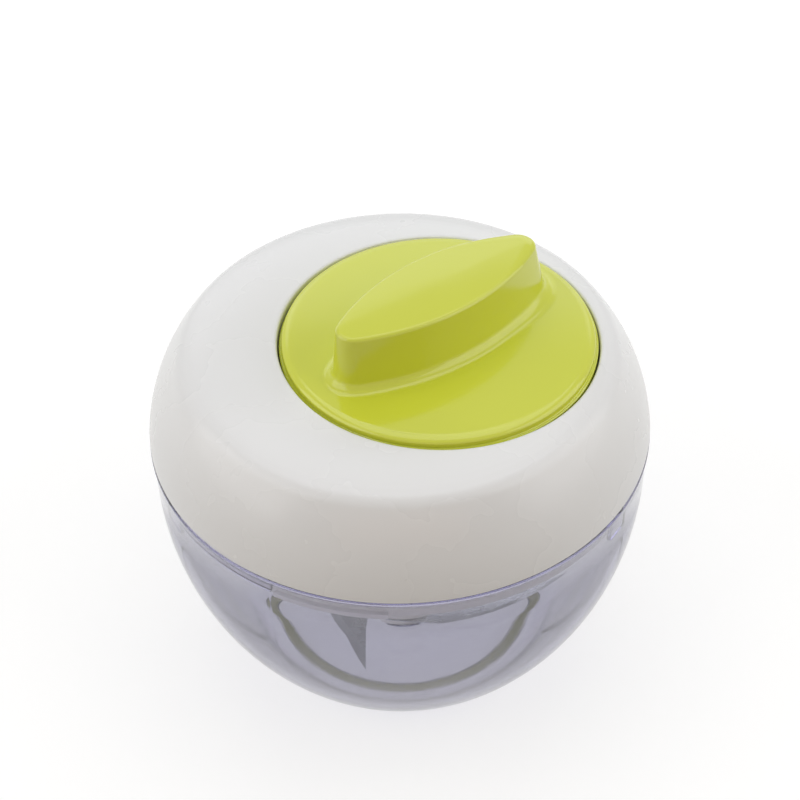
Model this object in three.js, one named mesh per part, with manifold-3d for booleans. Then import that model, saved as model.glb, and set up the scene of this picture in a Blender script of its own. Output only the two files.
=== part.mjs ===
// Hand-turned food chopper: a clear bowl under a white domed lid with a large green twist knob.
// The knob sits to one side of the lid's middle. It turns an internal ring gear, the ring gear
// drives a small pinion in the middle, and the pinion's shaft turns the blades in the bowl.
// Millimetres, +Z up. The origin is on the floor under the middle of the bowl.
// Seen from the front, along +Y, the knob's axis lies to the right, on +X.

import * as THREE from 'three';
import { mergeVertices } from 'three/addons/utils/BufferGeometryUtils.js';
import Module from 'manifold-3d';

const wasm = await Module();
wasm.setup();

// Clearances
const seatGap = 0.3; // between pieces that sit on or in each other
const runGap = 0.3; // between a turning piece and what carries it
const bite = 0.4; // how far a rib or lug reaches into the wall that carries it
const overrun = 1; // how far a cut runs past the face that it opens

// Bowl
const lidRadius = 75; // of the lid and the bowl's rim, which are flush at the seam
const seamHeight = 84; // of the line between bowl and lid
const footStand = 1; // how far the soft foot ring stands below the bowl
const bowlWall = 2.2;
const bowlFloor = 2.6;
const rimLip = 0.5; // how far the rim stands out from the wall
const rimDepth = 1.8;
const straightDrop = 15; // from the seam to where the wall starts to curve in
const baseInset = 26.68; // from the wall's outside to the edge of the base
const baseRound = 3;
const floorRound = 6;
const ribWidth = 2.2; // of the mixing ribs inside the wall
const ribDepth = 1.3;
const ribDrop = 17.5; // from the seam to the top of a rib
const footWidth = 3.6;
const footInset = 1.5; // from the edge of the flat base to the foot ring's groove
const footSink = 1.5; // depth of the groove

// Pin in the bowl's floor
const pinRadius = 1.6;
const pinReach = 28; // above its boss
const pinSink = 5.2; // into its boss
const pinBossWall = 3.4;
const pinBossRise = 4.4;

// Bayonet between lid and bowl
const lugCount = 3;
const lugDrop = 4; // from the seam to the top of the bowl's lugs
const lugThickness = 2;
const lugRun = 0.4;
const bowlLugAngle = 36 * THREE.MathUtils.DEG2RAD;
const lidLugAngle = 26 * THREE.MathUtils.DEG2RAD;
const stopAngle = 6 * THREE.MathUtils.DEG2RAD;
const lugStart = -36 * THREE.MathUtils.DEG2RAD; // of the front right bowl lug, from +X
const lugEntryGap = 0.6 * THREE.MathUtils.DEG2RAD; // between a lid lug and a bowl lug at rest
const stopDepth = 4.5;

// Collar and seal
const collarGap = 2.3; // between the bowl's wall and the collar that enters it
const collarWall = 2.4;
const collarBelow = 0.2; // collar below its lugs
const collarRise = 2; // collar above the seam
const sealDrop = 0.4; // seal's top below the rim
const sealHeight = 2.2;
const sealLip = 0.5;

// Lid shell, in section
const lidWall = 2.4;
const sideInset = 1.8; // of the side curve's control point
const sideRise = 15.4;
const creaseInset = 11.3; // of the soft edge between side and top
const creaseRise = 27.6;
const creaseSoft = 5;
const crownRise = 31; // of the middle of the top above the seam
const creaseShare = 0.84; // of the side curve that is left as it is
const crownShare = 0.85; // place of the top curve's control point
const landFall = 8; // power of the top's fall, which is flat in the middle and steep near the crease

// Knob well in the lid
const landWidth = 5.35; // narrowest stretch of lid between crease and well
const wellWall = 2.4;
const deckThickness = 2.5;
const lipRound = 0.8;
const lipDrop = 3; // from the crown to where the lip starts to open
const bearingLength = 8.4;
const bearingWall = 2.6;

// Knob
const knobGap = 0.5; // between the knob and its well
const discProud = 0.8; // disc's middle above the lid's crown
const discDome = 0.5;
const discEdgeRound = 1.4;
const discWall = 2.6;
const skirtWall = 2.4;
const skirtGap = 1.4; // between the knob's skirt and the deck
const hubRadius = 7.8;
const hubCoreRadius = 4.6;
const glideInset = 10.9; // from the knob's edge to the middle of the glide ring
const glideWidth = 3.4;
const glideHeight = 1;
const stiffenerWidth = 2;
const stiffenerLift = 2; // above the glide ring

// Knob's fin: two arcs that meet in small round tips
const finMargin = 11.1; // from a tip to the edge of the disc
const finHalfWidth = 12.8;
const finTipRadius = 5.3;
const finRise = 18.2; // above the middle of the disc
const finTurn = 37.9 * THREE.MathUtils.DEG2RAD; // from +X
const finDraft = 1.2;
const finTopRound = 1.2;
const finFoot = 3.3; // radius of the hollow curve at its foot
const finNoseFoot = 3; // more than that at the far right tip
const finWall = 2.4;
const finFootSink = 2; // of the fin's foot in the disc

// Gears
const gearModule = 1.3;
const pinionTeeth = 9;
const ringTeeth = 27;
const pressureAngle = 25 * THREE.MathUtils.DEG2RAD;
const addendumShare = 0.8; // of the module
const dedendumShare = 1;
const shiftShare = 0.3; // both gears are shifted outwards by this share of the module
const backlash = 0.26;
const faceWidth = 8;
const ringRim = 2.8;
const ringWeb = 3.1;
const gearRun = 0.6; // between the pinion and the ring gear's web
const hexRadius = 5;
const hexHeight = 3.8;

// Gear cover
const plateDrop = 5; // from the seam to the plate's underside
const plateThickness = 3;
const bushBossDrop = 2;
const bushBossWall = 2.2;
const bushWall = 1.8;
const bushFlange = 2;
const bushFlangeHeight = 1.2;
const screwInset = 10.6; // from the collar's inside to the middle of a screw
const screwCount = 4;
const screwBossWall = 2.1;
const screwLength = 11;

// Screws
const screwRadius = 1.25;
const screwHeadRadius = 2.7;
const screwHeadHeight = 1.3;
const knobScrewRadius = 1.7;
const knobScrewHeadRadius = 3.1;
const knobScrewHeadHeight = 2;
const knobScrewLength = 14;
const driveSlotWidth = 0.6;
const driveSlotDepth = 0.7;
const driveSlotShare = 0.6; // of the head's radius
const knobWasherRadius = 3.8;
const knobWasherHeight = 0.8;

// Output shaft and its dog
const shaftRadius = 3;
const shaftFlat = 2.3; // from the axis to each of the shaft's two flats
const shaftShort = 0.4; // shaft's end below the pinion's top
const thrustRadius = 6;
const thrustHeight = 0.8;
const dogLobes = 3;
const dogCore = 4.7;
const dogTip = 6.9;
const dogLength = 11.5;
const dogEnd = 1.8;
const dogAngle = 24 * THREE.MathUtils.DEG2RAD;

// Blade spindle
const cupGap = 0.8; // between the spindle's cup and the cover's boss
const cupRun = 0.6;
const cupWall = 2;
const cupBase = 3.4;
const cupKeyDrop = 3; // from the cup's mouth to the top of its keys
const cupKeyAngle = 24 * THREE.MathUtils.DEG2RAD;
const coreRadius = 4.2;
const coreFlat = 3.5; // from the axis to each of the core's two flats
const collarRing = 2.7; // wall of the spacers round the core
const spindleFootHeight = 4.7;
const spacerHeight = 13.4;

// Blades
const bladeThickness = 1;
const bladeEye = 3.4; // metal round the core
const bladeReachGap = 3; // between a blade's tip and the mixing ribs
const bladeBow = 17; // sagitta of the cutting edge
const bladeBackBow = 4.5; // sagitta of the back
const bladeTailShare = 0.42; // of the reach, how far the arcs' chord starts behind the axis
const bladeGrind = 2.6; // width of the ground edge
const bladeRoot = 6; // from the axis to where the cutting edge starts
const bladeTurns = [20, 140, 260].map(THREE.MathUtils.degToRad); // lower, middle, upper

// Facets
const largeSides = 44;
const smallSides = 16;
const screwSides = 8;
const hexSides = 6;
const curveSteps = 3;
const flankSteps = 2;

// Places worked out from the sizes above
const rimTop = seamHeight - seatGap / 2;
const lidBottom = seamHeight + seatGap / 2;
const wallRadius = lidRadius - rimLip;
const bowlInner = wallRadius - bowlWall;
const curveCentreZ = seamHeight - straightDrop;
const curveDrop = curveCentreZ - footStand;
const bowlCurve = (baseInset ** 2 + curveDrop ** 2) / (2 * baseInset); // radius, seen in section
const curveCentreR = wallRadius - bowlCurve;
const floorTop = footStand + bowlFloor;
const pinBossTop = floorTop + pinBossRise;
const pinHole = pinRadius + seatGap / 2;

const bowlLugTop = seamHeight - lugDrop;
const bowlLugBottom = bowlLugTop - lugThickness;
const lidLugTop = bowlLugBottom - lugRun;
const lidLugBottom = lidLugTop - lugThickness;
const collarOuter = bowlInner - collarGap;
const collarInner = collarOuter - collarWall;
const collarBottom = lidLugBottom - collarBelow;
const screwCircle = collarInner - screwInset;
const collarTop = seamHeight + collarRise;

const plateBottom = seamHeight - plateDrop;
const plateTop = plateBottom + plateThickness;
const bushBossBottom = plateBottom - bushBossDrop;
const bushInner = shaftRadius + runGap;
const bushOuter = bushInner + bushWall;
const bushTop = plateTop + seatGap + bushFlangeHeight;
const pinionBottom = bushTop + runGap;
const pinionTop = pinionBottom + faceWidth;
const webBottom = pinionTop + gearRun;
const webTop = webBottom + ringWeb;
const hubBottom = webTop + seatGap;
const deckTop = hubBottom + bearingLength;
const deckBottom = deckTop - deckThickness;

const knobOffset = gearModule * (ringTeeth - pinionTeeth) / 2;
const creaseRadius = lidRadius - creaseInset;
const wellRadius = creaseRadius - landWidth - knobOffset;
const knobRadius = wellRadius - knobGap;
const crownTop = seamHeight + crownRise;
const discTop = crownTop + discProud;
const discEdge = discTop - discDome;
const discUnder = discEdge - discWall;
const skirtBottom = deckTop + skirtGap;
const finTop = discTop + finRise;
const finHalfLength = knobRadius - finMargin;
const glideTop = deckTop + seatGap + glideHeight;
const glideMiddle = knobRadius - glideInset;

const thrustTop = bushBossBottom - seatGap;
const dogTop = thrustTop - thrustHeight - seatGap;
const dogBottom = dogTop - dogLength;
const cupTop = bushBossBottom - cupGap;
const cupFloor = dogBottom - cupRun;
const cupInner = dogTip + cupRun;
const spindleBottom = pinBossTop + seatGap;
const spacerInner = coreRadius + seatGap;
const spacerOuter = spacerInner + collarRing;
const lowerBlade = spindleBottom + spindleFootHeight + seatGap;
const bladePitch = bladeThickness + spacerHeight + 2 * seatGap;
const middleBlade = lowerBlade + bladePitch;
const upperBlade = middleBlade + bladePitch;
const spindleShoulder = upperBlade + bladeThickness + seatGap;

// Finishes
const whitePlastic = { color: 0xe4e4e2, roughness: 0.28, metalness: 0 };
const greenPlastic = { color: 0xc6ca4b, roughness: 0.35, metalness: 0 };
const clearPlastic = { color: 0xaaaabb, roughness: 0.08, metalness: 0, transparent: true, opacity: 0.45 };
const greyAcetal = { color: 0xb9bcc2, roughness: 0.45, metalness: 0 };
const softRubber = { color: 0xc6ca4b, roughness: 0.75, metalness: 0 };
const clearSilicone = { color: 0xd8dadb, roughness: 0.6, metalness: 0 };
const stainless = { color: 0xc9ccd0, roughness: 0.25, metalness: 1 };

// Turns a closed geometry into a solid that can be joined and cut
function solid(geometry) {
  geometry.deleteAttribute('normal');
  geometry.deleteAttribute('uv');
  const welded = mergeVertices(geometry);
  const corners = welded.index.array;
  const kept = [];
  for (let i = 0; i < corners.length; i += 3) {
    const [a, b, c] = [corners[i], corners[i + 1], corners[i + 2]];
    if (a !== b && b !== c && c !== a) kept.push(a, b, c);
  }
  return new wasm.Manifold(new wasm.Mesh({
    numProp: 3,
    vertProperties: new Float32Array(welded.attributes.position.array),
    triVerts: new Uint32Array(kept),
  }));
}

// Makes the named mesh of one finished piece
function piece(name, body, finish) {
  const { vertProperties, triVerts } = body.getMesh();
  const geometry = new THREE.BufferGeometry();
  geometry.setAttribute('position', new THREE.BufferAttribute(vertProperties, 3));
  geometry.setIndex(new THREE.BufferAttribute(triVerts, 1));
  geometry.computeVertexNormals();
  const mesh = new THREE.Mesh(geometry, new THREE.MeshStandardMaterial(finish));
  mesh.name = name;
  return mesh;
}

// Revolves a section of (radius, height) points, drawn anticlockwise, about Z
function revolve(section, sides) {
  const geometry = new THREE.LatheGeometry(section.getPoints(curveSteps), sides);
  geometry.rotateX(Math.PI / 2);
  return geometry;
}

function section(points) {
  const path = new THREE.Path();
  path.moveTo(...points[0]);
  for (const point of points.slice(1)) path.lineTo(...point);
  return path;
}

function ring(inner, outer, bottom, top, sides) {
  const corners = [[inner, bottom], [outer, bottom], [outer, top], [inner, top], [inner, bottom]];
  return solid(revolve(section(corners), sides));
}

function rod(radius, bottom, top, sides) {
  const geometry = new THREE.CylinderGeometry(radius, radius, top - bottom, sides);
  geometry.rotateX(Math.PI / 2);
  geometry.translate(0, 0, (bottom + top) / 2);
  return geometry;
}

function prism(shape, bottom, top, steps = curveSteps) {
  const options = { depth: top - bottom, bevelEnabled: false, curveSegments: steps };
  const geometry = new THREE.ExtrudeGeometry(shape, options);
  geometry.translate(0, 0, bottom);
  return geometry;
}

function block(width, depth, bottom, top) {
  const geometry = new THREE.BoxGeometry(width, depth, top - bottom);
  geometry.translate(0, 0, (bottom + top) / 2);
  return geometry;
}

// A stretch of ring between two angles
function sector(inner, outer, bottom, top, from, to) {
  const shape = new THREE.Shape();
  shape.absarc(0, 0, outer, from, to, false);
  shape.absarc(0, 0, inner, to, from, true);
  return solid(prism(shape, bottom, top));
}

// A circle with two flats, for shafts that must not slip
function flattedShape(radius, flat) {
  const corner = Math.acos(flat / radius);
  const shape = new THREE.Shape();
  shape.absarc(0, 0, radius, corner, Math.PI - corner, false);
  shape.absarc(0, 0, radius, Math.PI + corner, 2 * Math.PI - corner, false);
  return shape;
}

// Outline of an involute gear with a tooth that points along -X.
// The ring gear is cut with the outline of a gear of its own number of teeth.
function gearShape(teeth, rootRadius, tipRadius, sideGap) {
  const pitchRadius = gearModule * teeth / 2;
  const baseRadius = pitchRadius * Math.cos(pressureAngle);
  const involute = (angle) => Math.tan(angle) - angle;
  const thickness = gearModule * (Math.PI / 2 + 2 * shiftShare * Math.tan(pressureAngle)) + sideGap;
  const halfAngle = (radius) => {
    const slope = Math.acos(Math.min(1, baseRadius / radius));
    return thickness / (2 * pitchRadius) + involute(pressureAngle) - involute(slope);
  };
  const flankStart = Math.max(baseRadius, rootRadius);
  const outline = [];
  const add = (radius, angle) => {
    outline.push(new THREE.Vector2(radius * Math.cos(angle), radius * Math.sin(angle)));
  };
  for (let tooth = 0; tooth < teeth; tooth += 1) {
    const middle = Math.PI + tooth * 2 * Math.PI / teeth;
    if (rootRadius < flankStart) add(rootRadius, middle - halfAngle(flankStart));
    for (let step = 0; step <= flankSteps; step += 1) {
      const radius = THREE.MathUtils.lerp(flankStart, tipRadius, step / flankSteps);
      add(radius, middle - halfAngle(radius));
    }
    for (let step = flankSteps; step >= 0; step -= 1) {
      const radius = THREE.MathUtils.lerp(flankStart, tipRadius, step / flankSteps);
      add(radius, middle + halfAngle(radius));
    }
    if (rootRadius < flankStart) add(rootRadius, middle + halfAngle(flankStart));
  }
  return new THREE.Shape(outline);
}

// Bowl and what is fixed in it

function bowlRadiusAt(height, inset) {
  const drop = Math.max(0, curveCentreZ - height);
  return curveCentreR + Math.sqrt((bowlCurve - inset) ** 2 - drop ** 2);
}

const baseRadius = bowlRadiusAt(footStand, 0) - baseRound;
const grooveOuter = baseRadius - footInset;
const grooveInner = grooveOuter - footWidth;

function bowlSection() {
  const baseCorner = bowlRadiusAt(footStand, 0);
  const outerDrop = curveCentreZ - footStand - baseRound;
  const innerDrop = curveCentreZ - floorTop - floorRound;
  const floorCorner = bowlRadiusAt(floorTop, bowlWall);
  const pinHoleBottom = pinBossTop - pinSink;
  const path = section([
    [0, footStand],
    [grooveInner, footStand],
    [grooveInner, footStand + footSink],
    [grooveOuter, footStand + footSink],
    [grooveOuter, footStand],
    [baseRadius, footStand],
  ]);
  path.quadraticCurveTo(
    baseCorner, footStand, bowlRadiusAt(footStand + baseRound, 0), footStand + baseRound,
  );
  path.absarc(curveCentreR, curveCentreZ, bowlCurve, -Math.asin(outerDrop / bowlCurve), 0, false);
  path.lineTo(wallRadius, rimTop - rimDepth - rimLip);
  path.lineTo(lidRadius, rimTop - rimDepth);
  path.lineTo(lidRadius, rimTop);
  path.lineTo(bowlInner, rimTop);
  const innerCurve = bowlCurve - bowlWall;
  path.absarc(curveCentreR, curveCentreZ, innerCurve, 0, -Math.asin(innerDrop / innerCurve), true);
  path.quadraticCurveTo(floorCorner, floorTop, floorCorner - floorRound, floorTop);
  path.lineTo(pinHole + pinBossWall, floorTop);
  path.lineTo(pinHole + pinBossWall, pinBossTop);
  path.lineTo(pinHole, pinBossTop);
  path.lineTo(pinHole, pinHoleBottom);
  path.lineTo(0, pinHoleBottom);
  return path;
}

// A ring that hugs the inside of the wall, from which the ribs are cut
function ribBand() {
  const top = seamHeight - ribDrop;
  const bottom = floorTop + floorRound;
  const path = new THREE.Path();
  const outerCurve = bowlCurve - bowlWall + bite;
  const innerCurve = bowlCurve - bowlWall - ribDepth;
  const angleAt = (height, radius) => -Math.asin((curveCentreZ - height) / radius);
  path.absarc(
    curveCentreR, curveCentreZ, outerCurve, angleAt(bottom, outerCurve), angleAt(top, outerCurve), false,
  );
  path.absarc(
    curveCentreR, curveCentreZ, innerCurve, angleAt(top, innerCurve), angleAt(bottom, innerCurve), true,
  );
  path.closePath();
  return solid(revolve(path, largeSides));
}

function makeBowl() {
  let body = solid(revolve(bowlSection(), largeSides));
  const band = ribBand();
  for (let lug = 0; lug < lugCount; lug += 1) {
    const from = lugStart + lug * 2 * Math.PI / lugCount;
    const wall = bowlInner + bite;
    const inner = collarOuter + lugRun;
    body = body.add(sector(inner, wall, bowlLugBottom, bowlLugTop, from, from + bowlLugAngle));
    body = body.add(sector(inner, wall, bowlLugBottom - stopDepth, bowlLugTop, from, from + stopAngle));
    const rib = block(lidRadius, ribWidth, floorTop, seamHeight);
    rib.translate(lidRadius / 2, 0, 0);
    rib.rotateZ(from + stopAngle);
    body = body.add(band.intersect(solid(rib)));
  }
  return piece('bowl', body, clearPlastic);
}

function makeBowlPin() {
  const bottom = pinBossTop - pinSink + seatGap;
  const top = pinBossTop + pinReach;
  const path = section([[0, bottom], [pinRadius, bottom], [pinRadius, top - pinRadius]]);
  path.quadraticCurveTo(pinRadius, top, 0, top);
  return piece('bowl_pin', solid(revolve(path, smallSides)), stainless);
}

function makeFootRing() {
  const inner = grooveInner + seatGap;
  const outer = grooveOuter - seatGap;
  const top = footStand + footSink - seatGap;
  const path = section([[inner + seatGap, 0], [outer - seatGap, 0], [outer, seatGap], [outer, top]]);
  path.lineTo(inner, top);
  path.lineTo(inner, seatGap);
  path.closePath();
  return piece('foot_ring', solid(revolve(path, largeSides)), softRubber);
}

// Seal between the lid's collar and the bowl
function makeSeal() {
  const top = rimTop - sealDrop;
  const inner = collarOuter + seatGap;
  const outer = bowlInner - seatGap;
  const middle = top - sealHeight / 2;
  const path = section([
    [inner, top - sealHeight],
    [outer - sealLip, top - sealHeight],
    [outer, middle],
    [outer - sealLip, top],
    [inner, top],
  ]);
  path.closePath();
  return piece('lid_seal', solid(revolve(path, largeSides)), clearSilicone);
}

// Lid

// Outer curve of the lid, from the seam up its side and over the soft crease to the middle
function lidCurve() {
  const crease = new THREE.Vector2(creaseRadius, seamHeight + creaseRise);
  const start = new THREE.Vector2(lidRadius, lidBottom);
  const control = new THREE.Vector2(lidRadius - sideInset, lidBottom + sideRise);
  const side = new THREE.QuadraticBezierCurve(start, control, crease);
  const blend = side.getPoint(creaseShare);
  const blendControl = start.clone().lerp(control, creaseShare);
  const landRadius = creaseRadius - creaseSoft;
  const landShare = 1 - (landRadius / creaseRadius) ** landFall;
  const landHeight = crease.y + (crownTop - crease.y) * landShare;
  const path = section([[lidRadius, lidBottom]]);
  path.quadraticCurveTo(blendControl.x, blendControl.y, blend.x, blend.y);
  path.quadraticCurveTo(crease.x, crease.y, landRadius, landHeight);
  path.quadraticCurveTo(landRadius * crownShare, crownTop, 0, crownTop);
  return path.getPoints(curveSteps);
}

// Moves a curve inwards by a wall's thickness, along its normals
function insetCurve(points, wall) {
  return points.map((point, i) => {
    const before = points[Math.max(0, i - 1)];
    const after = points[Math.min(points.length - 1, i + 1)];
    const along = after.clone().sub(before).normalize();
    return new THREE.Vector2(Math.max(0, point.x - along.y * wall), point.y + along.x * wall);
  });
}

function revolvePoints(points, sides) {
  const geometry = new THREE.LatheGeometry(points, sides);
  geometry.rotateX(Math.PI / 2);
  return geometry;
}

function lidBody(wall, bottom) {
  const curve = insetCurve(lidCurve(), wall);
  curve[curve.length - 1].x = 0;
  const foot = new THREE.Vector2(0, bottom);
  const skirt = new THREE.Vector2(curve[0].x, bottom);
  return solid(revolvePoints([foot, skirt, ...curve], largeSides));
}

function knobWell() {
  const lipStart = crownTop - lipDrop;
  const top = crownTop + overrun;
  const path = section([[0, deckTop], [wellRadius, deckTop], [wellRadius, lipStart]]);
  path.quadraticCurveTo(wellRadius, crownTop, wellRadius + lipRound, top);
  path.lineTo(0, top);
  return solid(revolve(path, largeSides).translate(knobOffset, 0, 0));
}

function screwPlaces() {
  const places = [];
  for (let i = 0; i < screwCount; i += 1) {
    const angle = (i + 1 / 2) * 2 * Math.PI / screwCount;
    places.push([screwCircle * Math.cos(angle), screwCircle * Math.sin(angle)]);
  }
  return places;
}

function makeLidShell() {
  const dome = lidBody(0, lidBottom);
  const hollow = lidBody(lidWall, lidBottom - overrun);
  const tub = rod(wellRadius + wellWall, deckBottom, crownTop, largeSides);
  const bearing = rod(hubRadius + runGap + bearingWall, hubBottom, deckTop, smallSides);
  tub.translate(knobOffset, 0, 0);
  bearing.translate(knobOffset, 0, 0);
  let inside = solid(tub).add(solid(bearing));
  for (const [x, y] of screwPlaces()) {
    const radius = screwRadius + seatGap + screwBossWall;
    inside = inside.add(solid(rod(radius, plateTop + seatGap, crownTop, screwSides).translate(x, y, 0)));
  }
  let body = dome.subtract(hollow).add(inside.intersect(dome)).subtract(knobWell());
  const bore = rod(hubRadius + runGap, hubBottom - overrun, deckTop + overrun, smallSides);
  body = body.subtract(solid(bore.translate(knobOffset, 0, 0)));
  for (const [x, y] of screwPlaces()) {
    const pilotTop = plateTop + screwLength;
    const pilot = rod(screwRadius + seatGap, plateTop - overrun, pilotTop, screwSides);
    body = body.subtract(solid(pilot.translate(x, y, 0)));
  }
  return piece('lid_shell', body, whitePlastic);
}

function makeGearCover() {
  const bossBore = bushOuter + seatGap;
  const bossRadius = bossBore + bushBossWall;
  const path = section([
    [bossBore, bushBossBottom],
    [bossRadius, bushBossBottom],
    [bossRadius, plateBottom],
    [collarInner, plateBottom],
    [collarInner, collarBottom],
    [collarOuter, collarBottom],
    [collarOuter, collarTop],
    [collarInner, collarTop],
    [collarInner, plateTop],
    [bossBore, plateTop],
  ]);
  path.closePath();
  let body = solid(revolve(path, largeSides));
  const lugOuter = bowlInner - lugRun;
  for (let lug = 0; lug < lugCount; lug += 1) {
    const from = lugStart + bowlLugAngle + lugEntryGap + lug * 2 * Math.PI / lugCount;
    const to = from + lidLugAngle;
    body = body.add(sector(collarOuter - bite, lugOuter, lidLugBottom, lidLugTop, from, to));
  }
  for (const [x, y] of screwPlaces()) {
    const hole = rod(screwRadius + seatGap, plateBottom - overrun, plateTop + overrun, screwSides);
    const sinkTop = plateBottom + screwHeadHeight + seatGap;
    const sink = rod(screwHeadRadius + seatGap, plateBottom - overrun, sinkTop, screwSides);
    body = body.subtract(solid(hole.translate(x, y, 0))).subtract(solid(sink.translate(x, y, 0)));
  }
  return piece('gear_cover', body, whitePlastic);
}

// A pan-head screw that points up from under the face its head bears on
function screwBody(radius, headRadius, headHeight, length, seat) {
  const headBottom = seat - headHeight;
  const path = section([[0, headBottom], [headRadius / 2, headBottom]]);
  path.quadraticCurveTo(headRadius, headBottom, headRadius, seat);
  path.lineTo(radius, seat);
  path.lineTo(radius, seat + length - radius);
  path.lineTo(0, seat + length);
  let body = solid(revolve(path, screwSides));
  const slotLength = 2 * headRadius * driveSlotShare;
  for (const [width, depth] of [[slotLength, driveSlotWidth], [driveSlotWidth, slotLength]]) {
    const slot = block(width, depth, headBottom - overrun, headBottom + driveSlotDepth);
    body = body.subtract(solid(slot));
  }
  return body;
}

function makeCoverScrews() {
  const seat = plateBottom + screwHeadHeight;
  return screwPlaces().map(([x, y], i) => {
    const body = screwBody(screwRadius, screwHeadRadius, screwHeadHeight, screwLength, seat);
    const screw = piece(`cover_screw_${i + 1}`, body, stainless);
    screw.position.set(x, y, 0);
    return screw;
  });
}

function makeShaftBush() {
  const path = section([
    [bushInner, bushBossBottom],
    [bushOuter, bushBossBottom],
    [bushOuter, plateTop + seatGap],
    [bushOuter + bushFlange, plateTop + seatGap],
    [bushOuter + bushFlange, bushTop],
    [bushInner, bushTop],
  ]);
  path.closePath();
  return piece('shaft_bush', solid(revolve(path, smallSides)), greyAcetal);
}

// Knob and what turns with it, built on the knob's own axis

function glideBody(bottom, top) {
  const half = glideWidth / 2;
  return ring(glideMiddle - half, glideMiddle + half, bottom, top, largeSides);
}

function makeGlideRing() {
  return piece('glide_ring', glideBody(deckTop + seatGap, glideTop), greyAcetal);
}

function finShape() {
  const tip = finHalfLength - finTipRadius;
  const spread = finHalfWidth - finTipRadius;
  const sideRadius = (tip ** 2 + finHalfWidth ** 2 - finTipRadius ** 2) / (2 * spread);
  const centre = sideRadius - finHalfWidth;
  const meet = Math.atan2(centre, tip);
  const shape = new THREE.Shape();
  shape.absarc(tip, 0, finTipRadius, -meet, meet, false);
  shape.absarc(0, -centre, sideRadius, meet, Math.PI - meet, false);
  shape.absarc(-tip, 0, finTipRadius, Math.PI - meet, Math.PI + meet, false);
  shape.absarc(0, centre, sideRadius, Math.PI + meet, 2 * Math.PI - meet, false);
  return shape;
}

// The fin's outline carried up through levels, each grown by its own amount.
// The growth at the nose, on the outline's +X end, can be larger than elsewhere.
function finBody(levels) {
  const count = levels.length - 1;
  const options = { depth: count, steps: count, bevelEnabled: false, curveSegments: curveSteps };
  const geometry = new THREE.ExtrudeGeometry(finShape(), options);
  const place = geometry.attributes.position;
  for (let i = 0; i < place.count; i += 1) {
    const { height, grow, nose } = levels[Math.round(place.getZ(i))];
    const [x, y] = [place.getX(i), place.getY(i)];
    const along = x > 0 ? nose : grow;
    const wide = y * (finHalfWidth + grow) / finHalfWidth;
    place.setXYZ(i, x * (finHalfLength + along) / finHalfLength, wide, height);
  }
  return solid(geometry.rotateZ(finTurn));
}

function finOuterLevels() {
  const noseFoot = finFoot + finNoseFoot;
  const level = (height, grow, nose = grow) => ({ height, grow, nose });
  const levels = [level(discEdge - finFootSink, finDraft + finFoot, finDraft + noseFoot)];
  for (let step = 0; step <= curveSteps; step += 1) {
    const angle = step / curveSteps * Math.PI / 2;
    const open = 1 - Math.sin(angle);
    const height = discEdge + finFoot * (1 - Math.cos(angle));
    levels.push(level(height, finDraft + finFoot * open, finDraft + noseFoot * open));
  }
  for (let step = 0; step <= curveSteps; step += 1) {
    const angle = step / curveSteps * Math.PI / 2;
    const height = finTop - finTopRound * (1 - Math.sin(angle));
    levels.push(level(height, -finTopRound * (1 - Math.cos(angle))));
  }
  return levels;
}

function discSection() {
  const path = section([[0, skirtBottom], [knobRadius, skirtBottom], [knobRadius, discEdge - discEdgeRound]]);
  path.quadraticCurveTo(knobRadius, discEdge, knobRadius - discEdgeRound, discEdge);
  path.quadraticCurveTo(knobRadius / 2, discTop, 0, discTop);
  return path;
}

function hubBody() {
  const roof = finTop - finWall / 2;
  const hub = solid(rod(hubRadius, hubBottom, discUnder + bite, smallSides));
  return hub.add(solid(rod(hubCoreRadius, discUnder, roof, smallSides)));
}

function makeKnob() {
  const skin = solid(revolve(discSection(), largeSides)).add(finBody(finOuterLevels()));
  const under = solid(rod(knobRadius - skirtWall, skirtBottom - overrun, discUnder, largeSides));
  const inFin = finBody([
    { height: skirtBottom - overrun, grow: -finWall, nose: -finWall },
    { height: finTop - finWall, grow: -finWall, nose: -finWall },
  ]);
  const stiffenerBottom = glideTop + runGap + stiffenerLift;
  const along = block(2 * knobRadius, stiffenerWidth, stiffenerBottom, finTop).rotateZ(finTurn);
  const across = block(stiffenerWidth, 2 * knobRadius, stiffenerBottom, finTop).rotateZ(finTurn);
  const stiffeners = solid(along).add(solid(across)).intersect(skin);
  const restRib = glideBody(glideTop + runGap, discUnder + bite);
  const socketTop = hubBottom + hexHeight;
  const socket = solid(rod(hexRadius + seatGap, hubBottom - overrun, socketTop, hexSides));
  const pilotTop = webBottom + knobScrewLength;
  const pilot = solid(rod(knobScrewRadius + seatGap, hubBottom - overrun, pilotTop, smallSides));
  const body = skin.subtract(under).subtract(inFin).add(stiffeners).add(restRib).add(hubBody());
  return piece('knob', body.subtract(socket).subtract(pilot), greenPlastic);
}

function makeRingGear() {
  const pitchRadius = gearModule * ringTeeth / 2;
  const toothEnd = pitchRadius - gearModule * (addendumShare - shiftShare);
  const toothRoot = pitchRadius + gearModule * (dedendumShare + shiftShare);
  const cutter = gearShape(ringTeeth, toothEnd, toothRoot, backlash);
  const blank = solid(rod(toothRoot + ringRim, pinionBottom, webTop, largeSides));
  const spigot = solid(rod(hexRadius, webBottom, webTop + hexHeight, hexSides));
  const holeTop = webTop + hexHeight + overrun;
  const hole = solid(rod(knobScrewRadius + seatGap, webBottom - overrun, holeTop, smallSides));
  const teeth = solid(prism(cutter, pinionBottom - overrun, webBottom));
  return piece('ring_gear', blank.add(spigot).subtract(teeth).subtract(hole), greyAcetal);
}

function makeKnobWasher() {
  const top = webBottom - seatGap;
  const inner = knobScrewRadius + seatGap;
  const body = ring(inner, knobWasherRadius, top - knobWasherHeight, top, smallSides);
  return piece('knob_washer', body, stainless);
}

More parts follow.
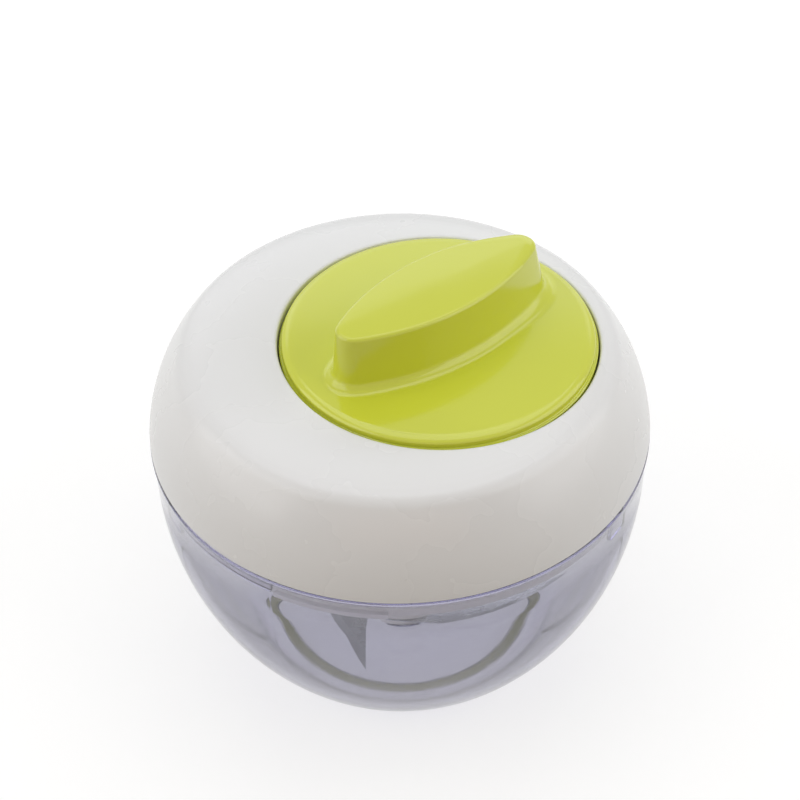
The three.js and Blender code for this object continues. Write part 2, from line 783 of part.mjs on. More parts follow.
function makeKnobScrew() {
  const seat = webBottom - knobWasherHeight - 2 * seatGap;
  const body = screwBody(knobScrewRadius, knobScrewHeadRadius, knobScrewHeadHeight, knobScrewLength, seat);
  return piece('knob_screw', body, stainless);
}

// Output shaft, which hangs in the cover's bush

function makePinion() {
  const pitchRadius = gearModule * pinionTeeth / 2;
  const rootRadius = pitchRadius - gearModule * (dedendumShare - shiftShare);
  const tipRadius = pitchRadius + gearModule * (addendumShare + shiftShare);
  const blank = solid(prism(gearShape(pinionTeeth, rootRadius, tipRadius, 0), pinionBottom, pinionTop));
  const hole = flattedShape(shaftRadius + seatGap, shaftFlat + seatGap);
  const bore = solid(prism(hole, pinionBottom - overrun, pinionTop + overrun));
  return piece('pinion', blank.subtract(bore), greyAcetal);
}

function makeOutputShaft() {
  const flatted = flattedShape(shaftRadius, shaftFlat);
  const shaftBottom = dogBottom + dogEnd + seatGap;
  const flats = solid(prism(flatted, shaftBottom, pinionTop - shaftShort));
  const journal = solid(rod(shaftRadius, thrustTop - thrustHeight, bushTop, smallSides));
  return piece('output_shaft', flats.add(journal), stainless);
}

function makeDriveDog() {
  let body = solid(rod(dogCore, dogBottom, dogTop, smallSides));
  for (let lobe = 0; lobe < dogLobes; lobe += 1) {
    const middle = lobe * 2 * Math.PI / dogLobes;
    const from = middle - dogAngle / 2;
    body = body.add(sector(shaftRadius + bite, dogTip, dogBottom, dogTop, from, from + dogAngle));
  }
  const hole = flattedShape(shaftRadius + seatGap, shaftFlat + seatGap);
  body = body.subtract(solid(prism(hole, dogBottom + dogEnd, dogTop + overrun)));
  return piece('drive_dog', body, greyAcetal);
}

function makeThrustWasher() {
  const body = ring(shaftRadius + seatGap, thrustRadius, thrustTop - thrustHeight, thrustTop, smallSides);
  return piece('thrust_washer', body, stainless);
}

// Blades and their spindle, which stands on the bowl's pin

function makeBladeSpindle() {
  const bore = pinRadius + runGap;
  const boreTop = pinBossTop + pinReach + runGap;
  const cupOuter = cupInner + cupWall;
  const path = section([
    [0, boreTop],
    [bore, boreTop],
    [bore, spindleBottom],
    [coreRadius, spindleBottom],
    [coreRadius, spindleShoulder],
    [spacerOuter, spindleShoulder],
    [spacerOuter, cupFloor - cupBase],
  ]);
  path.quadraticCurveTo(cupOuter, cupFloor - cupBase, cupOuter, cupFloor);
  path.lineTo(cupOuter, cupTop);
  path.lineTo(cupInner, cupTop);
  path.lineTo(cupInner, cupFloor);
  path.lineTo(0, cupFloor);
  let body = solid(revolve(path, smallSides));
  for (const side of [-1, 1]) {
    const width = coreRadius + overrun - coreFlat;
    const flat = block(width, 2 * spacerOuter, spindleBottom - overrun, spindleShoulder);
    body = body.subtract(solid(flat.translate(side * (coreFlat + width / 2), 0, 0)));
  }
  for (let key = 0; key < dogLobes; key += 1) {
    const middle = (key + 1 / 2) * 2 * Math.PI / dogLobes;
    const from = middle - cupKeyAngle / 2;
    const inner = dogCore + cupRun;
    const keyTop = cupTop - cupKeyDrop;
    body = body.add(sector(inner, cupInner + bite, cupFloor - bite, keyTop, from, from + cupKeyAngle));
  }
  return piece('blade_spindle', body, whitePlastic);
}

function makeSpindleFoot() {
  const body = ring(spacerInner, spacerOuter, spindleBottom, spindleBottom + spindleFootHeight, smallSides);
  return piece('spindle_foot', body, whitePlastic);
}

function makeSpacer(name, bladeBelow) {
  const bottom = bladeBelow + bladeThickness + seatGap;
  return piece(name, ring(spacerInner, spacerOuter, bottom, bottom + spacerHeight, smallSides), whitePlastic);
}

// A circle through both ends of a chord on the X axis, bulging to -Y by its sagitta
function bowCircle(from, to, sagitta) {
  const half = (to - from) / 2;
  const radius = (half ** 2 + sagitta ** 2) / (2 * sagitta);
  return { x: (from + to) / 2, y: radius - sagitta, radius, half };
}

// A curved blade whose cutting edge and back are arcs that meet at the tip.
// All blades are keyed by the same flats, whichever way they point.
function makeBlade(name, bottom, turn) {
  const reach = bowlRadiusAt(bottom, bowlWall) - ribDepth - bladeReachGap;
  const tail = -reach * bladeTailShare;
  const edge = bowCircle(tail, reach, bladeBow);
  const back = bowCircle(tail, reach, bladeBackBow);
  const angleAt = (circle, x) => -Math.acos((x - circle.x) / circle.radius);
  const eyeRadius = coreRadius + seatGap + bladeEye;
  const shape = new THREE.Shape();
  shape.moveTo(-eyeRadius * Math.sin(Math.PI / 6), -eyeRadius * Math.cos(Math.PI / 6));
  shape.absarc(edge.x, edge.y, edge.radius, angleAt(edge, bladeRoot), angleAt(edge, reach), false);
  shape.absarc(back.x, back.y, back.radius, angleAt(back, reach), angleAt(back, 0), true);
  const top = bottom + bladeThickness;
  const grind = section([
    [edge.radius, bottom],
    [edge.radius + overrun, bottom],
    [edge.radius + overrun, top],
    [edge.radius - bladeGrind, top],
  ]);
  grind.closePath();
  const ground = solid(revolve(grind, 2 * largeSides).translate(edge.x, edge.y, 0).rotateZ(turn));
  const wing = solid(prism(shape, bottom, top, 2 * curveSteps).rotateZ(turn)).subtract(ground);
  const eye = solid(rod(eyeRadius, bottom, top, smallSides));
  const hole = flattedShape(coreRadius + seatGap, coreFlat + seatGap);
  const body = wing.add(eye).subtract(solid(prism(hole, bottom - overrun, top + overrun)));
  return piece(name, body, stainless);
}

function group(x, ...pieces) {
  const holder = new THREE.Group();
  holder.position.x = x;
  holder.add(...pieces);
  return holder;
}

const bowlGroup = group(0, makeBowl(), makeBowlPin(), makeFootRing());
const lidGroup = group(0, makeLidShell(), makeGearCover(), ...makeCoverScrews(), makeShaftBush(), makeSeal());
const knobGroup = group(
  knobOffset, makeKnob(), makeRingGear(), makeKnobWasher(), makeKnobScrew(), makeGlideRing(),
);
const outputGroup = group(0, makePinion(), makeOutputShaft(), makeDriveDog(), makeThrustWasher());
const bladeGroup = group(
  0,
  makeBladeSpindle(),
  makeSpindleFoot(),
  makeBlade('blade_lower', lowerBlade, bladeTurns[0]),
  makeSpacer('spacer_lower', lowerBlade),
  makeBlade('blade_middle', middleBlade, bladeTurns[1]),
  makeSpacer('spacer_upper', middleBlade),
  makeBlade('blade_upper', upperBlade, bladeTurns[2]),
);

export default group(0, bowlGroup, lidGroup, knobGroup, outputGroup, bladeGroup);
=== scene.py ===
# %% [markdown]
# A hand-turned food chopper, dressed for its portrait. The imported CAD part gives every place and
# size. This lesson models smooth versions of its mouldings, gives each piece the finish of its real
# material, and lights the chopper like a small product in a studio.

from math import acos, atan2, cos, hypot, pi, radians, sin, sqrt

import bmesh
import bpy
import numpy as np
from mathutils import Euler, Matrix, Vector
from mathutils.geometry import intersect_sphere_sphere_2d


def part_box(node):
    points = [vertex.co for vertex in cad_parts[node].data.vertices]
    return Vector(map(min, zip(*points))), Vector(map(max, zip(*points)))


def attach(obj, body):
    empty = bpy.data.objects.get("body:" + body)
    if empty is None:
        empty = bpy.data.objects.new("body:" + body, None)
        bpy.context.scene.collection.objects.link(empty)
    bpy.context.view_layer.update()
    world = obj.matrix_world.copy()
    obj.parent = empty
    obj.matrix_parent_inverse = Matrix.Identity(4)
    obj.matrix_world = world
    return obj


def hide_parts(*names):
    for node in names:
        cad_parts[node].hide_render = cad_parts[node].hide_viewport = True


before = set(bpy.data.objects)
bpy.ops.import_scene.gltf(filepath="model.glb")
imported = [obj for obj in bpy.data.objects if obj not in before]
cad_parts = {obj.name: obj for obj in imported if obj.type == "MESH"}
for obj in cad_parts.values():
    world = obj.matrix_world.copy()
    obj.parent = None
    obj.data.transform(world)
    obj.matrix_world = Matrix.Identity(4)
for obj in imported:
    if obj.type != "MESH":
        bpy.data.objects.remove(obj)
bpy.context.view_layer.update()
scene = bpy.context.scene
MM = 0.001

# %% [markdown]
# The camera first, because everything is judged through it. The photograph was taken from above and
# in front with a long lens, and leans by a little over a degree. The focal length, the distance and
# the angles come from fitting the lid's seam, its crease and the knob's rim.

# %% Camera
camera_data = bpy.data.cameras.new("portrait_camera")
camera_data.sensor_width = 36
camera_data.sensor_fit = "HORIZONTAL"
camera_data.lens = 75.35
camera_data.shift_x = 0.00064
camera_data.shift_y = 0.0166
camera = bpy.data.objects.new("portrait_camera", camera_data)
scene.collection.objects.link(camera)
scene.camera = camera

look_down = radians(43.292)
lean = radians(-1.217)
distance = 504.3 * MM
seam = 84 * MM
camera.location = Vector((0, -distance * cos(look_down), seam + distance * sin(look_down)))
aim = Euler((pi / 2 - look_down, 0, 0)).to_matrix() @ Matrix.Rotation(lean, 3, "Z")
camera.rotation_euler = aim.to_euler()
print("camera at", [round(v / MM) for v in camera.location], "mm")

# %% [markdown]
# Colours are written as the hex values one would pick in a paint program, and one function turns
# them to the linear values that the shaders count in. Small functions add the shader nodes that every
# finish needs, with sizes in millimetres, so that each material below reads like a recipe.

# %% Helpers for materials
def linear(code):
    """Turns an sRGB hex colour such as e6e6e3 into linear red, green, blue and alpha."""
    channels = [int(code[i:i + 2], 16) / 255 for i in (0, 2, 4)]
    return [c / 12.92 if c <= 0.04045 else ((c + 0.055) / 1.055) ** 2.4 for c in channels] + [1]


def add(tree, kind, settings, links):
    """Adds a node; settings fill its sockets or its options, links join sockets to outputs."""
    node = tree.nodes.new(kind)
    for name, value in settings.items():
        if isinstance(name, int) or name in node.inputs:
            node.inputs[name].default_value = value
        else:
            setattr(node, name, value)
    for name, output in links.items():
        tree.links.new(output, node.inputs[name])
    return node


def bare_tree(owner):
    """Empties the nodes of a material or the world."""
    owner.use_nodes = True
    owner.node_tree.nodes.clear()
    return owner.node_tree


def start_material(name, settings):
    """Makes a material with a bare shader and returns it with its tree, shader and place."""
    material = bpy.data.materials.new(name)
    tree = bare_tree(material)
    shader = add(tree, "ShaderNodeBsdfPrincipled", settings, {})
    add(tree, "ShaderNodeOutputMaterial", {}, {"Surface": shader.outputs[0]})
    place = add(tree, "ShaderNodeTexCoord", {}, {}).outputs["Object"]
    return material, tree, shader, place


def noise(tree, place, size, detail):
    """A noise between 0 and 1, with patches of about size millimetres."""
    settings = {"Scale": 1 / (size * MM), "Detail": detail}
    return add(tree, "ShaderNodeTexNoise", settings, {"Vector": place}).outputs["Fac"]


def between(tree, first, last, share):
    """A colour between two hex colours."""
    settings = {"data_type": "RGBA", 6: linear(first), 7: linear(last)}
    return add(tree, "ShaderNodeMix", settings, {0: share}).outputs[2]


def spread(tree, value, low, high, first, last):
    """Turns the range from low to high into the range from first to last."""
    settings = {"From Min": low, "From Max": high, "To Min": first, "To Max": last}
    return add(tree, "ShaderNodeMapRange", settings, {"Value": value}).outputs[0]


def plug(tree, shader, colour, rough, height, depth):
    """Gives the shader its colour, its roughness, and a relief that is depth millimetres deep."""
    bump = add(tree, "ShaderNodeBump", {"Strength": 1, "Distance": depth * MM}, {"Height": height})
    tree.links.new(colour, shader.inputs["Base Color"])
    tree.links.new(rough, shader.inputs["Roughness"])
    tree.links.new(bump.outputs[0], shader.inputs["Normal"])


# %% [markdown]
# The lid, the knob and most of the works are injection-moulded. Their colour is in the plastic, so
# it hardly varies, but no moulding is perfect: the polished steel of the mould leaves a very shallow
# ripple a few millimetres long, and handling leaves the gloss uneven in soft patches. The lid's mould
# is less polished than the knob's, so its gloss is softer.

# %% Moulded plastics
drift_size = 45
patch_size = 22


def moulded(name, light, dark, gloss, worn, ripple_depth, index, ripple_size=6, settings=None):
    """A moulded plastic between two near colours, its roughness between gloss and worn."""
    material, tree, shader, place = start_material(name, {"IOR": index, **(settings or {})})
    colour = between(tree, dark, light, noise(tree, place, drift_size, 1))
    rough = spread(tree, noise(tree, place, patch_size, 3), 0.35, 0.7, gloss, worn)
    plug(tree, shader, colour, rough, noise(tree, place, ripple_size, 1), ripple_depth)
    return material


white_abs = moulded("white_abs", "e5e5e5", "e1e1e0", 0.25, 0.32, 0.01, 1.53)
lime_abs = moulded("lime_abs", "d0d640", "cbd13a", 0.1, 0.15, 0.01, 1.53)
white_nylon = moulded("white_nylon", "e2e1dc", "dad9d3", 0.38, 0.5, 0.02, 1.52)
polyacetal = moulded("polyacetal", "bdc0c6", "b3b6bc", 0.36, 0.48, 0.02, 1.48)
lime_elastomer = moulded(
    "lime_elastomer", "bec149", "b3b744", 0.65, 0.8, 0.03, 1.5, 0.8, {"Sheen Weight": 0.15},
)
milky_silicone = moulded(
    "milky_silicone", "dadcdd", "d0d3d4", 0.5, 0.62, 0.02, 1.41,
    settings={
        "Subsurface Weight": 0.3, "Subsurface Radius": (2 * MM, 2 * MM, 2 * MM),
        "Subsurface Scale": 1.0,
    },
)
print("moulded finishes:", white_abs.name, lime_abs.name, white_nylon.name, polyacetal.name)

# %% [markdown]
# The bowl is clear styrene-acrylonitrile, a hard glassy plastic with a touch of violet toner that
# hides its natural yellow. It bends light like glass of index 1.57. The violet is in its volume, so
# it deepens where one looks along a wall, at the rim, the ribs and the lugs, because light crosses
# more plastic there. Where the skin is seen edge-on, Layer Weight darkens its colour towards a dark
# grey. That is painted shade, and it draws the bowl's outline on the white. A thin flow ripple keeps
# the reflections from being perfect.
# Lamps would not reach what is inside through bent light in any sensible time, so their rays pass
# straight through, dimmed a little.

# %% Clear bowl plastic
flow_size = 9
flow_depth = 0.02


def clear_moulded(name, tint, painted_edge_shade, shade, depth_tint, density):
    """A clear plastic whose colour darkens to a painted shade where seen edge-on. Its depth_tint deepens
    by the density for each millimetre that light crosses.
    """
    material, tree, shader, place = start_material(name, {"Transmission Weight": 1, "IOR": 1.57})
    # Painted shade: where the skin is seen edge-on, its colour darkens towards the dark edge grey.
    edge_on = add(tree, "ShaderNodeLayerWeight", {"Blend": 0.3}, {})
    colour = between(tree, tint, painted_edge_shade, edge_on.outputs["Facing"])
    along_flow = add(tree, "ShaderNodeMapping", {"Scale": (1, 1, 0.3)}, {"Vector": place})
    ripple = noise(tree, along_flow.outputs[0], flow_size, 1)
    plug(tree, shader, colour, spread(tree, ripple, 0.3, 0.7, 0.02, 0.05), ripple, flow_depth)
    output = next(node for node in tree.nodes if node.type == "OUTPUT_MATERIAL")
    path = add(tree, "ShaderNodeLightPath", {}, {})
    open_to_lamps = add(tree, "ShaderNodeBsdfTransparent", {"Color": linear(shade)}, {})
    mixed = add(
        tree, "ShaderNodeMixShader", {},
        {0: path.outputs["Is Shadow Ray"], 1: shader.outputs[0], 2: open_to_lamps.outputs[0]},
    )
    volume = {"Color": linear(depth_tint), "Density": density / MM}
    inside = add(tree, "ShaderNodeVolumeAbsorption", volume, {})
    tree.links.new(mixed.outputs[0], output.inputs["Surface"])
    tree.links.new(inside.outputs[0], output.inputs["Volume"])
    return material


# The dark grey 48484e is the painted shade of the skin where it is seen edge-on.
clear_san = clear_moulded("clear_san", "f3f3f1", "48484e", "fdfdfe", "6c61cf", 0.08)
print("clear finish:", clear_san.name)

# %% [markdown]
# Pins, screws, washers and the shaft are turned stainless steel: the tool leaves fine rings round
# the axis. The real feed is a few hundredths of a millimetre, too fine to show, so the rings are
# drawn 0.35 mm apart. The blades are stamped from cold-rolled strip, with a straight faint grain, and
# their bevel is ground brighter than the faces. Blender's waves repeat at pi over ten times the scale.

# %% Steels
smear_size = 6


def steel(name, light, dark, gloss, worn, grooves, spacing, depth):
    """A steel between two near greys, with grooves at a spacing and of a depth in mm."""
    material, tree, shader, place = start_material(name, {"Metallic": 1})
    waves = {"Scale": pi / (10 * spacing * MM), "Distortion": 0.6, "Detail": 2}
    grain = add(tree, "ShaderNodeTexWave", {**grooves, **waves}, {"Vector": place})
    smears = noise(tree, place, smear_size, 5)
    colour = between(tree, dark, light, smears)
    rough = spread(tree, smears, 0, 1, gloss, worn)
    plug(tree, shader, colour, rough, grain.outputs["Fac"], depth)
    return material


rings = {"wave_type": "RINGS", "rings_direction": "Z"}
lengthways = {"wave_type": "BANDS", "bands_direction": "X"}
crossways = {"wave_type": "BANDS", "bands_direction": "Y"}
turned_steel = steel("turned_steel", "d2d3d4", "bfc1c3", 0.18, 0.34, rings, 0.35, 0.006)
strip_steel = steel("strip_steel", "d0d1d3", "c0c2c5", 0.2, 0.34, lengthways, 0.5, 0.004)
ground_steel = steel("ground_steel", "dddee0", "d0d2d4", 0.12, 0.24, crossways, 0.3, 0.004)
print("steel finishes:", turned_steel.name, strip_steel.name, ground_steel.name)

# %% [markdown]
# The mouldings are round, but not simply turned: the lid's top slides sideways to meet the off-centre
# well, and the knob's fin grows out of its disc. So each is drawn by pulling a ring of edges: start
# with a circle, extrude it, move the new ring to its station, and go on. Each vertex carries the
# number of its side of the circle, so a formula can place it. Rings that meet at a point or close on
# the first ring are welded at the end.

# %% Helpers for meshes
weld_gap = 0.002 * MM


def loft(stations, sides, place):
    """Pulls a circle of edges through the stations. place gives a vertex in mm for each side."""
    bm = bmesh.new()
    side_of = bm.verts.layers.int.new("side")
    circle = bmesh.ops.create_circle(bm, cap_ends=False, segments=sides, radius=1)
    for side, vert in enumerate(circle["verts"]):
        vert[side_of] = side
        vert.co = place(stations[0], side) * MM
    ring = bm.edges[:]
    for station in stations[1:]:
        pulled = bmesh.ops.extrude_edge_only(bm, edges=ring)["geom"]
        ring = [part for part in pulled if isinstance(part, bmesh.types.BMEdge)]
        for vert in [part for part in pulled if isinstance(part, bmesh.types.BMVert)]:
            vert.co = place(station, vert[side_of]) * MM
    return bm


def add_object(name, bm):
    """Makes an object of a mesh that is ready, and links it to the scene."""
    mesh = bpy.data.meshes.new(name)
    bm.to_mesh(mesh)
    bm.free()
    made = bpy.data.objects.new(name, mesh)
    scene.collection.objects.link(made)
    return made


def finish_piece(name, bm, body, material, nodes, sharp=35):
    """Welds, turns the faces outwards, shades, and hands the piece to its CAD body."""
    bmesh.ops.remove_doubles(bm, verts=bm.verts, dist=weld_gap)
    bmesh.ops.dissolve_degenerate(bm, edges=bm.edges, dist=weld_gap / 4)
    bmesh.ops.recalc_face_normals(bm, faces=bm.faces)
    for face in bm.faces:
        face.smooth = True
    for edge in bm.edges:
        edge.smooth = edge.calc_face_angle(0) < radians(sharp)
    open_edges = sum(1 for edge in bm.edges if len(edge.link_faces) != 2)
    volume = bm.calc_volume(signed=True) / MM ** 3
    faces = len(bm.faces)
    piece = add_object(name, bm)
    piece.data.materials.append(material)
    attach(piece, body)
    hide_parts(*nodes)
    print(f"{name}: {faces} faces, {volume / 1000:.2f} cm3, {open_edges} open edges")
    return piece


# %% [markdown]
# The lid is one white moulding: a side that leans in, a soft crease, and a gently crowned top with a
# deep round well for the knob, off to the right. Its outer curve is drawn once, as a height over the
# distance from the lid's axis. Rings on the top may then slide sideways towards the well and still lie
# on that curve. The inner skin is the same curve moved in by the wall's thickness.

# %% The lid's curves
def span(first, last, steps):
    """Evenly spaced numbers from first to last."""
    return [first + (last - first) * step / steps for step in range(steps + 1)]


def curve_point(start, control, end, share):
    return start.lerp(control, share).lerp(control.lerp(end, share), share)


def curve(start, control, end, steps):
    """Points from start to end on a curve that heads for control on its way."""
    return [curve_point(start, control, end, share) for share in span(0, 1, steps)]


lid_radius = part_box("lid_shell")[1].x / MM
rim_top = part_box("bowl")[1].z / MM
knob_axis = (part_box("knob")[0].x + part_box("knob")[1].x) / 2 / MM
knob_radius = (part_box("knob")[1].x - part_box("knob")[0].x) / 2 / MM
glide_gap, seam_gap = 0.3, 0.3
deck_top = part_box("glide_ring")[0].z / MM - glide_gap
hub_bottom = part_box("knob")[0].z / MM
lid_bottom = rim_top + seam_gap
lid_wall = 2.4
side_inset, side_rise = 1.8, 15.4
crease_inset, crease_rise = 11.3, 27.75
crease = Vector((lid_radius - crease_inset, rim_top + crease_rise))
crease_soft = 1.9
crown_rise = 31.15
crown_top = rim_top + crown_rise
land_fall = 8
blend_share = 0.94


def land_height(distance):
    return crown_top - (crown_top - crease.y) * (distance / crease.x) ** land_fall


side_start = Vector((lid_radius, lid_bottom))
side_control = Vector((lid_radius - side_inset, lid_bottom + side_rise))
blend_start = curve_point(side_start, side_control, crease, blend_share)
blend_end = Vector((crease.x - crease_soft, land_height(crease.x - crease_soft)))
lid_side = [curve_point(side_start, side_control, crease, blend_share * s) for s in span(0, 1, 20)]
lid_crease = curve(blend_start, crease, blend_end, 12)
lid_land = [Vector((r, land_height(r))) for r in span(blend_end.x, 0, 30)]
lid_outer = lid_side + lid_crease[1:] + lid_land[1:]


def moved_in(line, wall):
    """The line moved to its left by a wall's thickness, square to its run."""
    moved = []
    for i, point in enumerate(line):
        along = (line[min(i + 1, len(line) - 1)] - line[max(i - 1, 0)]).normalized()
        moved.append(point + Vector((-along.y, along.x)) * wall)
    return moved


lid_inner = moved_in(lid_outer, lid_wall)


def height_over(line, distance):
    """The height at a distance from the axis, of a line that runs inwards."""
    return float(np.interp(distance, [p.x for p in reversed(line)], [p.y for p in reversed(line)]))


print(f"lid: radius {lid_radius:.1f}, crown at {crown_top:.1f}, knob's axis at x {knob_axis:.1f} mm")

# %% [markdown]
# A station of the lid is a radius, the share of the knob's offset by which its ring is slid, and a
# height, either plain or measured from one of the two lines. The list walks once round the section:
# up the side, over the top, down the well, along the deck to the hub's bearing, under the deck, and
# back down the inner skin.

# %% The lid
def rounding(steps):
    """Pairs that run from (0, 1) to (1, 0), for a round corner."""
    return [(share ** 2, (1 - share) ** 2) for share in span(0, 1, steps)]


well_gap, well_wall = 0.5, 2.4
well_radius = knob_radius + well_gap
tub_radius = well_radius + well_wall
lip_round = 1.1
deck_wall, deck_round = 2.5, 1.2
deck_bottom = deck_top - deck_wall
bearing_radius, bearing_wall = 8.1, 2.6
bearing_outer = bearing_radius + bearing_wall
bearing_edge, bearing_foot = 0.4, 1.5
tub_edge, tub_foot = 0.8, 1.2
slide_start, slide_end = 66.0, 63.0
outer_clear, inner_clear, bottom_clear = 0.2, 0.3, 0.5
edge_round = 0.45
round_middle = edge_round * 0.3
lid_rings = []


def lid_ring(radius, share, height, line=None):
    lid_rings.append((radius, share, height, line))


lid_ring(lid_radius - edge_round, 0, lid_bottom)
lid_ring(lid_radius - round_middle, 0, lid_bottom + round_middle)
for point in lid_outer[1:]:
    if point.x > slide_start + outer_clear:
        lid_ring(point.x, 0, point.y)
for share in span(0, 1, 52):
    radius = slide_start + (well_radius + lip_round - slide_start) * share
    lid_ring(radius, share, 0, lid_outer)
for rise, fall in rounding(7)[1:]:
    lid_ring(well_radius + lip_round * fall, 1, -lip_round * rise, lid_outer)
for rise, fall in rounding(4):
    lid_ring(well_radius - deck_round * rise, 1, deck_top + deck_round * fall)
for radius, height in (
    (bearing_radius + bearing_edge, deck_top), (bearing_radius, deck_top - bearing_edge),
    (bearing_radius, hub_bottom + bearing_edge), (bearing_radius + bearing_edge, hub_bottom),
    (bearing_outer - bearing_edge, hub_bottom), (bearing_outer, hub_bottom + bearing_edge),
):
    lid_ring(radius, 1, height)
for rise, fall in rounding(3):
    lid_ring(bearing_outer + bearing_foot * rise, 1, deck_bottom - bearing_foot * fall)
lid_ring(tub_radius - tub_edge, 1, deck_bottom)
lid_ring(tub_radius, 1, deck_bottom + tub_edge)
for rise, fall in rounding(3):
    lid_ring(tub_radius + tub_foot * rise, 1, -tub_foot * fall, lid_inner)
for share in span(1, 0, 20)[1:]:
    radius = slide_end + (tub_radius + tub_foot - slide_end) * share
    lid_ring(radius, share, 0, lid_inner)
for point in reversed(lid_inner):
    if point.x > slide_end + inner_clear and point.y > lid_bottom + bottom_clear:
        lid_ring(point.x, 0, point.y)
lid_ring(lid_radius - lid_wall, 0, lid_bottom + edge_round)
lid_ring(lid_radius - lid_wall + edge_round, 0, lid_bottom)
lid_rings.append(lid_rings[0])
lid_sides = 288


def place_on_lid(ring, side):
    radius, share, height, line = ring
    angle = 2 * pi * side / lid_sides
    x = share * knob_axis + radius * cos(angle)
    y = radius * sin(angle)
    if line is not None:
        height = height_over(line, hypot(x, y)) + height
    return Vector((x, y, height))


finish_piece(
    "lid_dome", loft(lid_rings, lid_sides, place_on_lid), "lid", white_abs,
    ["lid_shell"],
)

# %% [markdown]
# The knob is one lime green moulding, a round disc with a fin to grip. The fin is a lens seen from
# above: two long arcs that meet in small round tips. It could be an extruded curve set on a turned
# disc, but the seam between them would need a fillet of changing width. As one ring of edges that
# grows from the fin to the disc, it has that fillet from the start. Each side of the ring keeps the
# centre, radius and direction of the arc that it lies on, so the outline can grow or shrink by any
# amount and stay a true offset.

# %% The fin's outline
fin_inset = 11.1
fin_half_length = knob_radius - fin_inset
fin_half_width = 12.8
fin_tip_radius = 5.3
fin_turn = radians(37.9)
fin_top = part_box("knob")[1].z / MM
fin_draft = 1.2
nose_draft = 1.4
tip_place = fin_half_length - fin_tip_radius
arc_radius = (tip_place ** 2 + fin_half_width ** 2 - fin_tip_radius ** 2) / (
    2 * (fin_half_width - fin_tip_radius)
)
arc_place = arc_radius - fin_half_width
meet = atan2(arc_place, tip_place)
tip_steps, arc_steps = 44, 136
fin_arcs = [
    (Vector((tip_place, 0)), fin_tip_radius, -meet, meet, tip_steps),
    (Vector((0, -arc_place)), arc_radius, meet, pi - meet, arc_steps),
    (Vector((-tip_place, 0)), fin_tip_radius, pi - meet, pi + meet, tip_steps),
    (Vector((0, arc_place)), arc_radius, pi + meet, 2 * pi - meet, arc_steps),
]
fin_sides = []
for centre, radius, first, last, steps in fin_arcs:
    fin_sides += [(centre, radius, angle) for angle in span(first, last, steps)[:-1]]


def fin_point(side, grow):
    """A point of the fin's outline, moved out by grow, before the fin is turned."""
    centre, radius, angle = fin_sides[side]
    return centre + Vector((cos(angle), sin(angle))) * (radius + grow)


print(f"fin: {2 * fin_half_length:.1f} x {2 * fin_half_width:.1f} mm, arcs of {arc_radius:.1f} mm")

# %% [markdown]
# From the top down the rings make a nearly flat top, a small rounded edge that widens towards the
# right tip, a wall with a little draft, and a hollow foot that spreads more at that tip. Then they open
# out to the round disc, whose edge rolls over with a faint break that catches the light. A ledge under
# the edge carries the skirt out towards the well's wall, so the gap round the disc is shallow.

# %% The knob's sizes
ledge_width, ledge_drop, ledge_edge = 0.8, 2.8, 0.2
fin_rise = 17.5
disc_radius = knob_radius - ledge_width
disc_top = fin_top - fin_rise
disc_dome = 0.45
disc_wall = 2.6
roll_run, roll_fall = 2.2, 1.4
roll_start = radians(22)
skirt_gap, skirt_wall = 1.4, 2.4
skirt_bottom = deck_top + skirt_gap
skirt_brow, skirt_edge, skirt_foot = 0.3, 0.4, 1
foot_rise = 3.3
foot_spread, nose_spread = 3.3, 1.6
edge_least, edge_widens, edge_deepens = 1.1, 2.6, 0.5
top_dome = 0.35
fin_shell, hollow_drop = 2.4, 3.5
disc_edge = disc_top - disc_dome
disc_under = disc_edge - disc_wall
ledge_top = disc_edge - ledge_drop
skirt_inner = knob_radius - skirt_wall
fin_brow = fin_top - top_dome
print(f"disc: radius {disc_radius:.1f} mm, its top at {disc_top:.1f} mm, the fin's at {fin_top:.1f} mm")

# %% [markdown]
# Towards its right tip the fin is softer: the edge is wider and deeper, the wall leans more and the
# foot spreads further. One function says how near a side is to that tip, and the others grow with it,
# so the change is smooth and has no step.

# %% How the fin softens towards its tip
def disc_height(distance):
    return disc_top - disc_dome * min(1, distance / (disc_radius - roll_run)) ** 2


def blend(value, low, high):
    """Rises smoothly from 0 at low to 1 at high."""
    share = min(1, max(0, (value - low) / (high - low)))
    return share * share * (3 - 2 * share)


def to_nose(side, low, high):
    """Rises from 0 to 1 between two shares of the way to the fin's right tip."""
    return blend(fin_point(side, 0).x / fin_half_length, low, high)


def edge_width(side):
    return edge_least + edge_widens * to_nose(side, 0.25, 1.0)


def edge_depth(side):
    return edge_least + edge_deepens * to_nose(side, 0.35, 1.0)


def draft(side):
    return fin_draft + nose_draft * to_nose(side, 0.3, 0.95)


def foot_width(side):
    return foot_spread + nose_spread * to_nose(side, 0.3, 0.95)


def foot_end(side):
    """Where the fin's foot runs out on the disc."""
    return fin_point(side, draft(side) + foot_width(side))


nose_side = tip_steps // 2
print(f"fin's edge: {edge_least:.1f} mm wide at least, {edge_width(nose_side):.1f} mm at the right tip")

# %% [markdown]
# Each kind of ring gets one short function, which places a vertex for a side of the ring. A share or
# a turn says how far down this ring lies within its own part of the knob.

# %% The kinds of ring of the knob
def lift(point, height):
    return Vector((point.x, point.y, height))


def fin_cap(side, share):
    point = fin_point(side, -edge_width(side)) * share
    return lift(point, fin_top - top_dome * share ** 2)


def fin_edge(side, turn):
    grow = -edge_width(side) * (1 - sin(turn))
    return lift(fin_point(side, grow), fin_brow - edge_depth(side) * (1 - cos(turn)))


def fin_wall(side, share):
    top = fin_brow - edge_depth(side)
    low = disc_height(foot_end(side).length) + foot_rise
    return lift(fin_point(side, draft(side) * share), top + (low - top) * share)


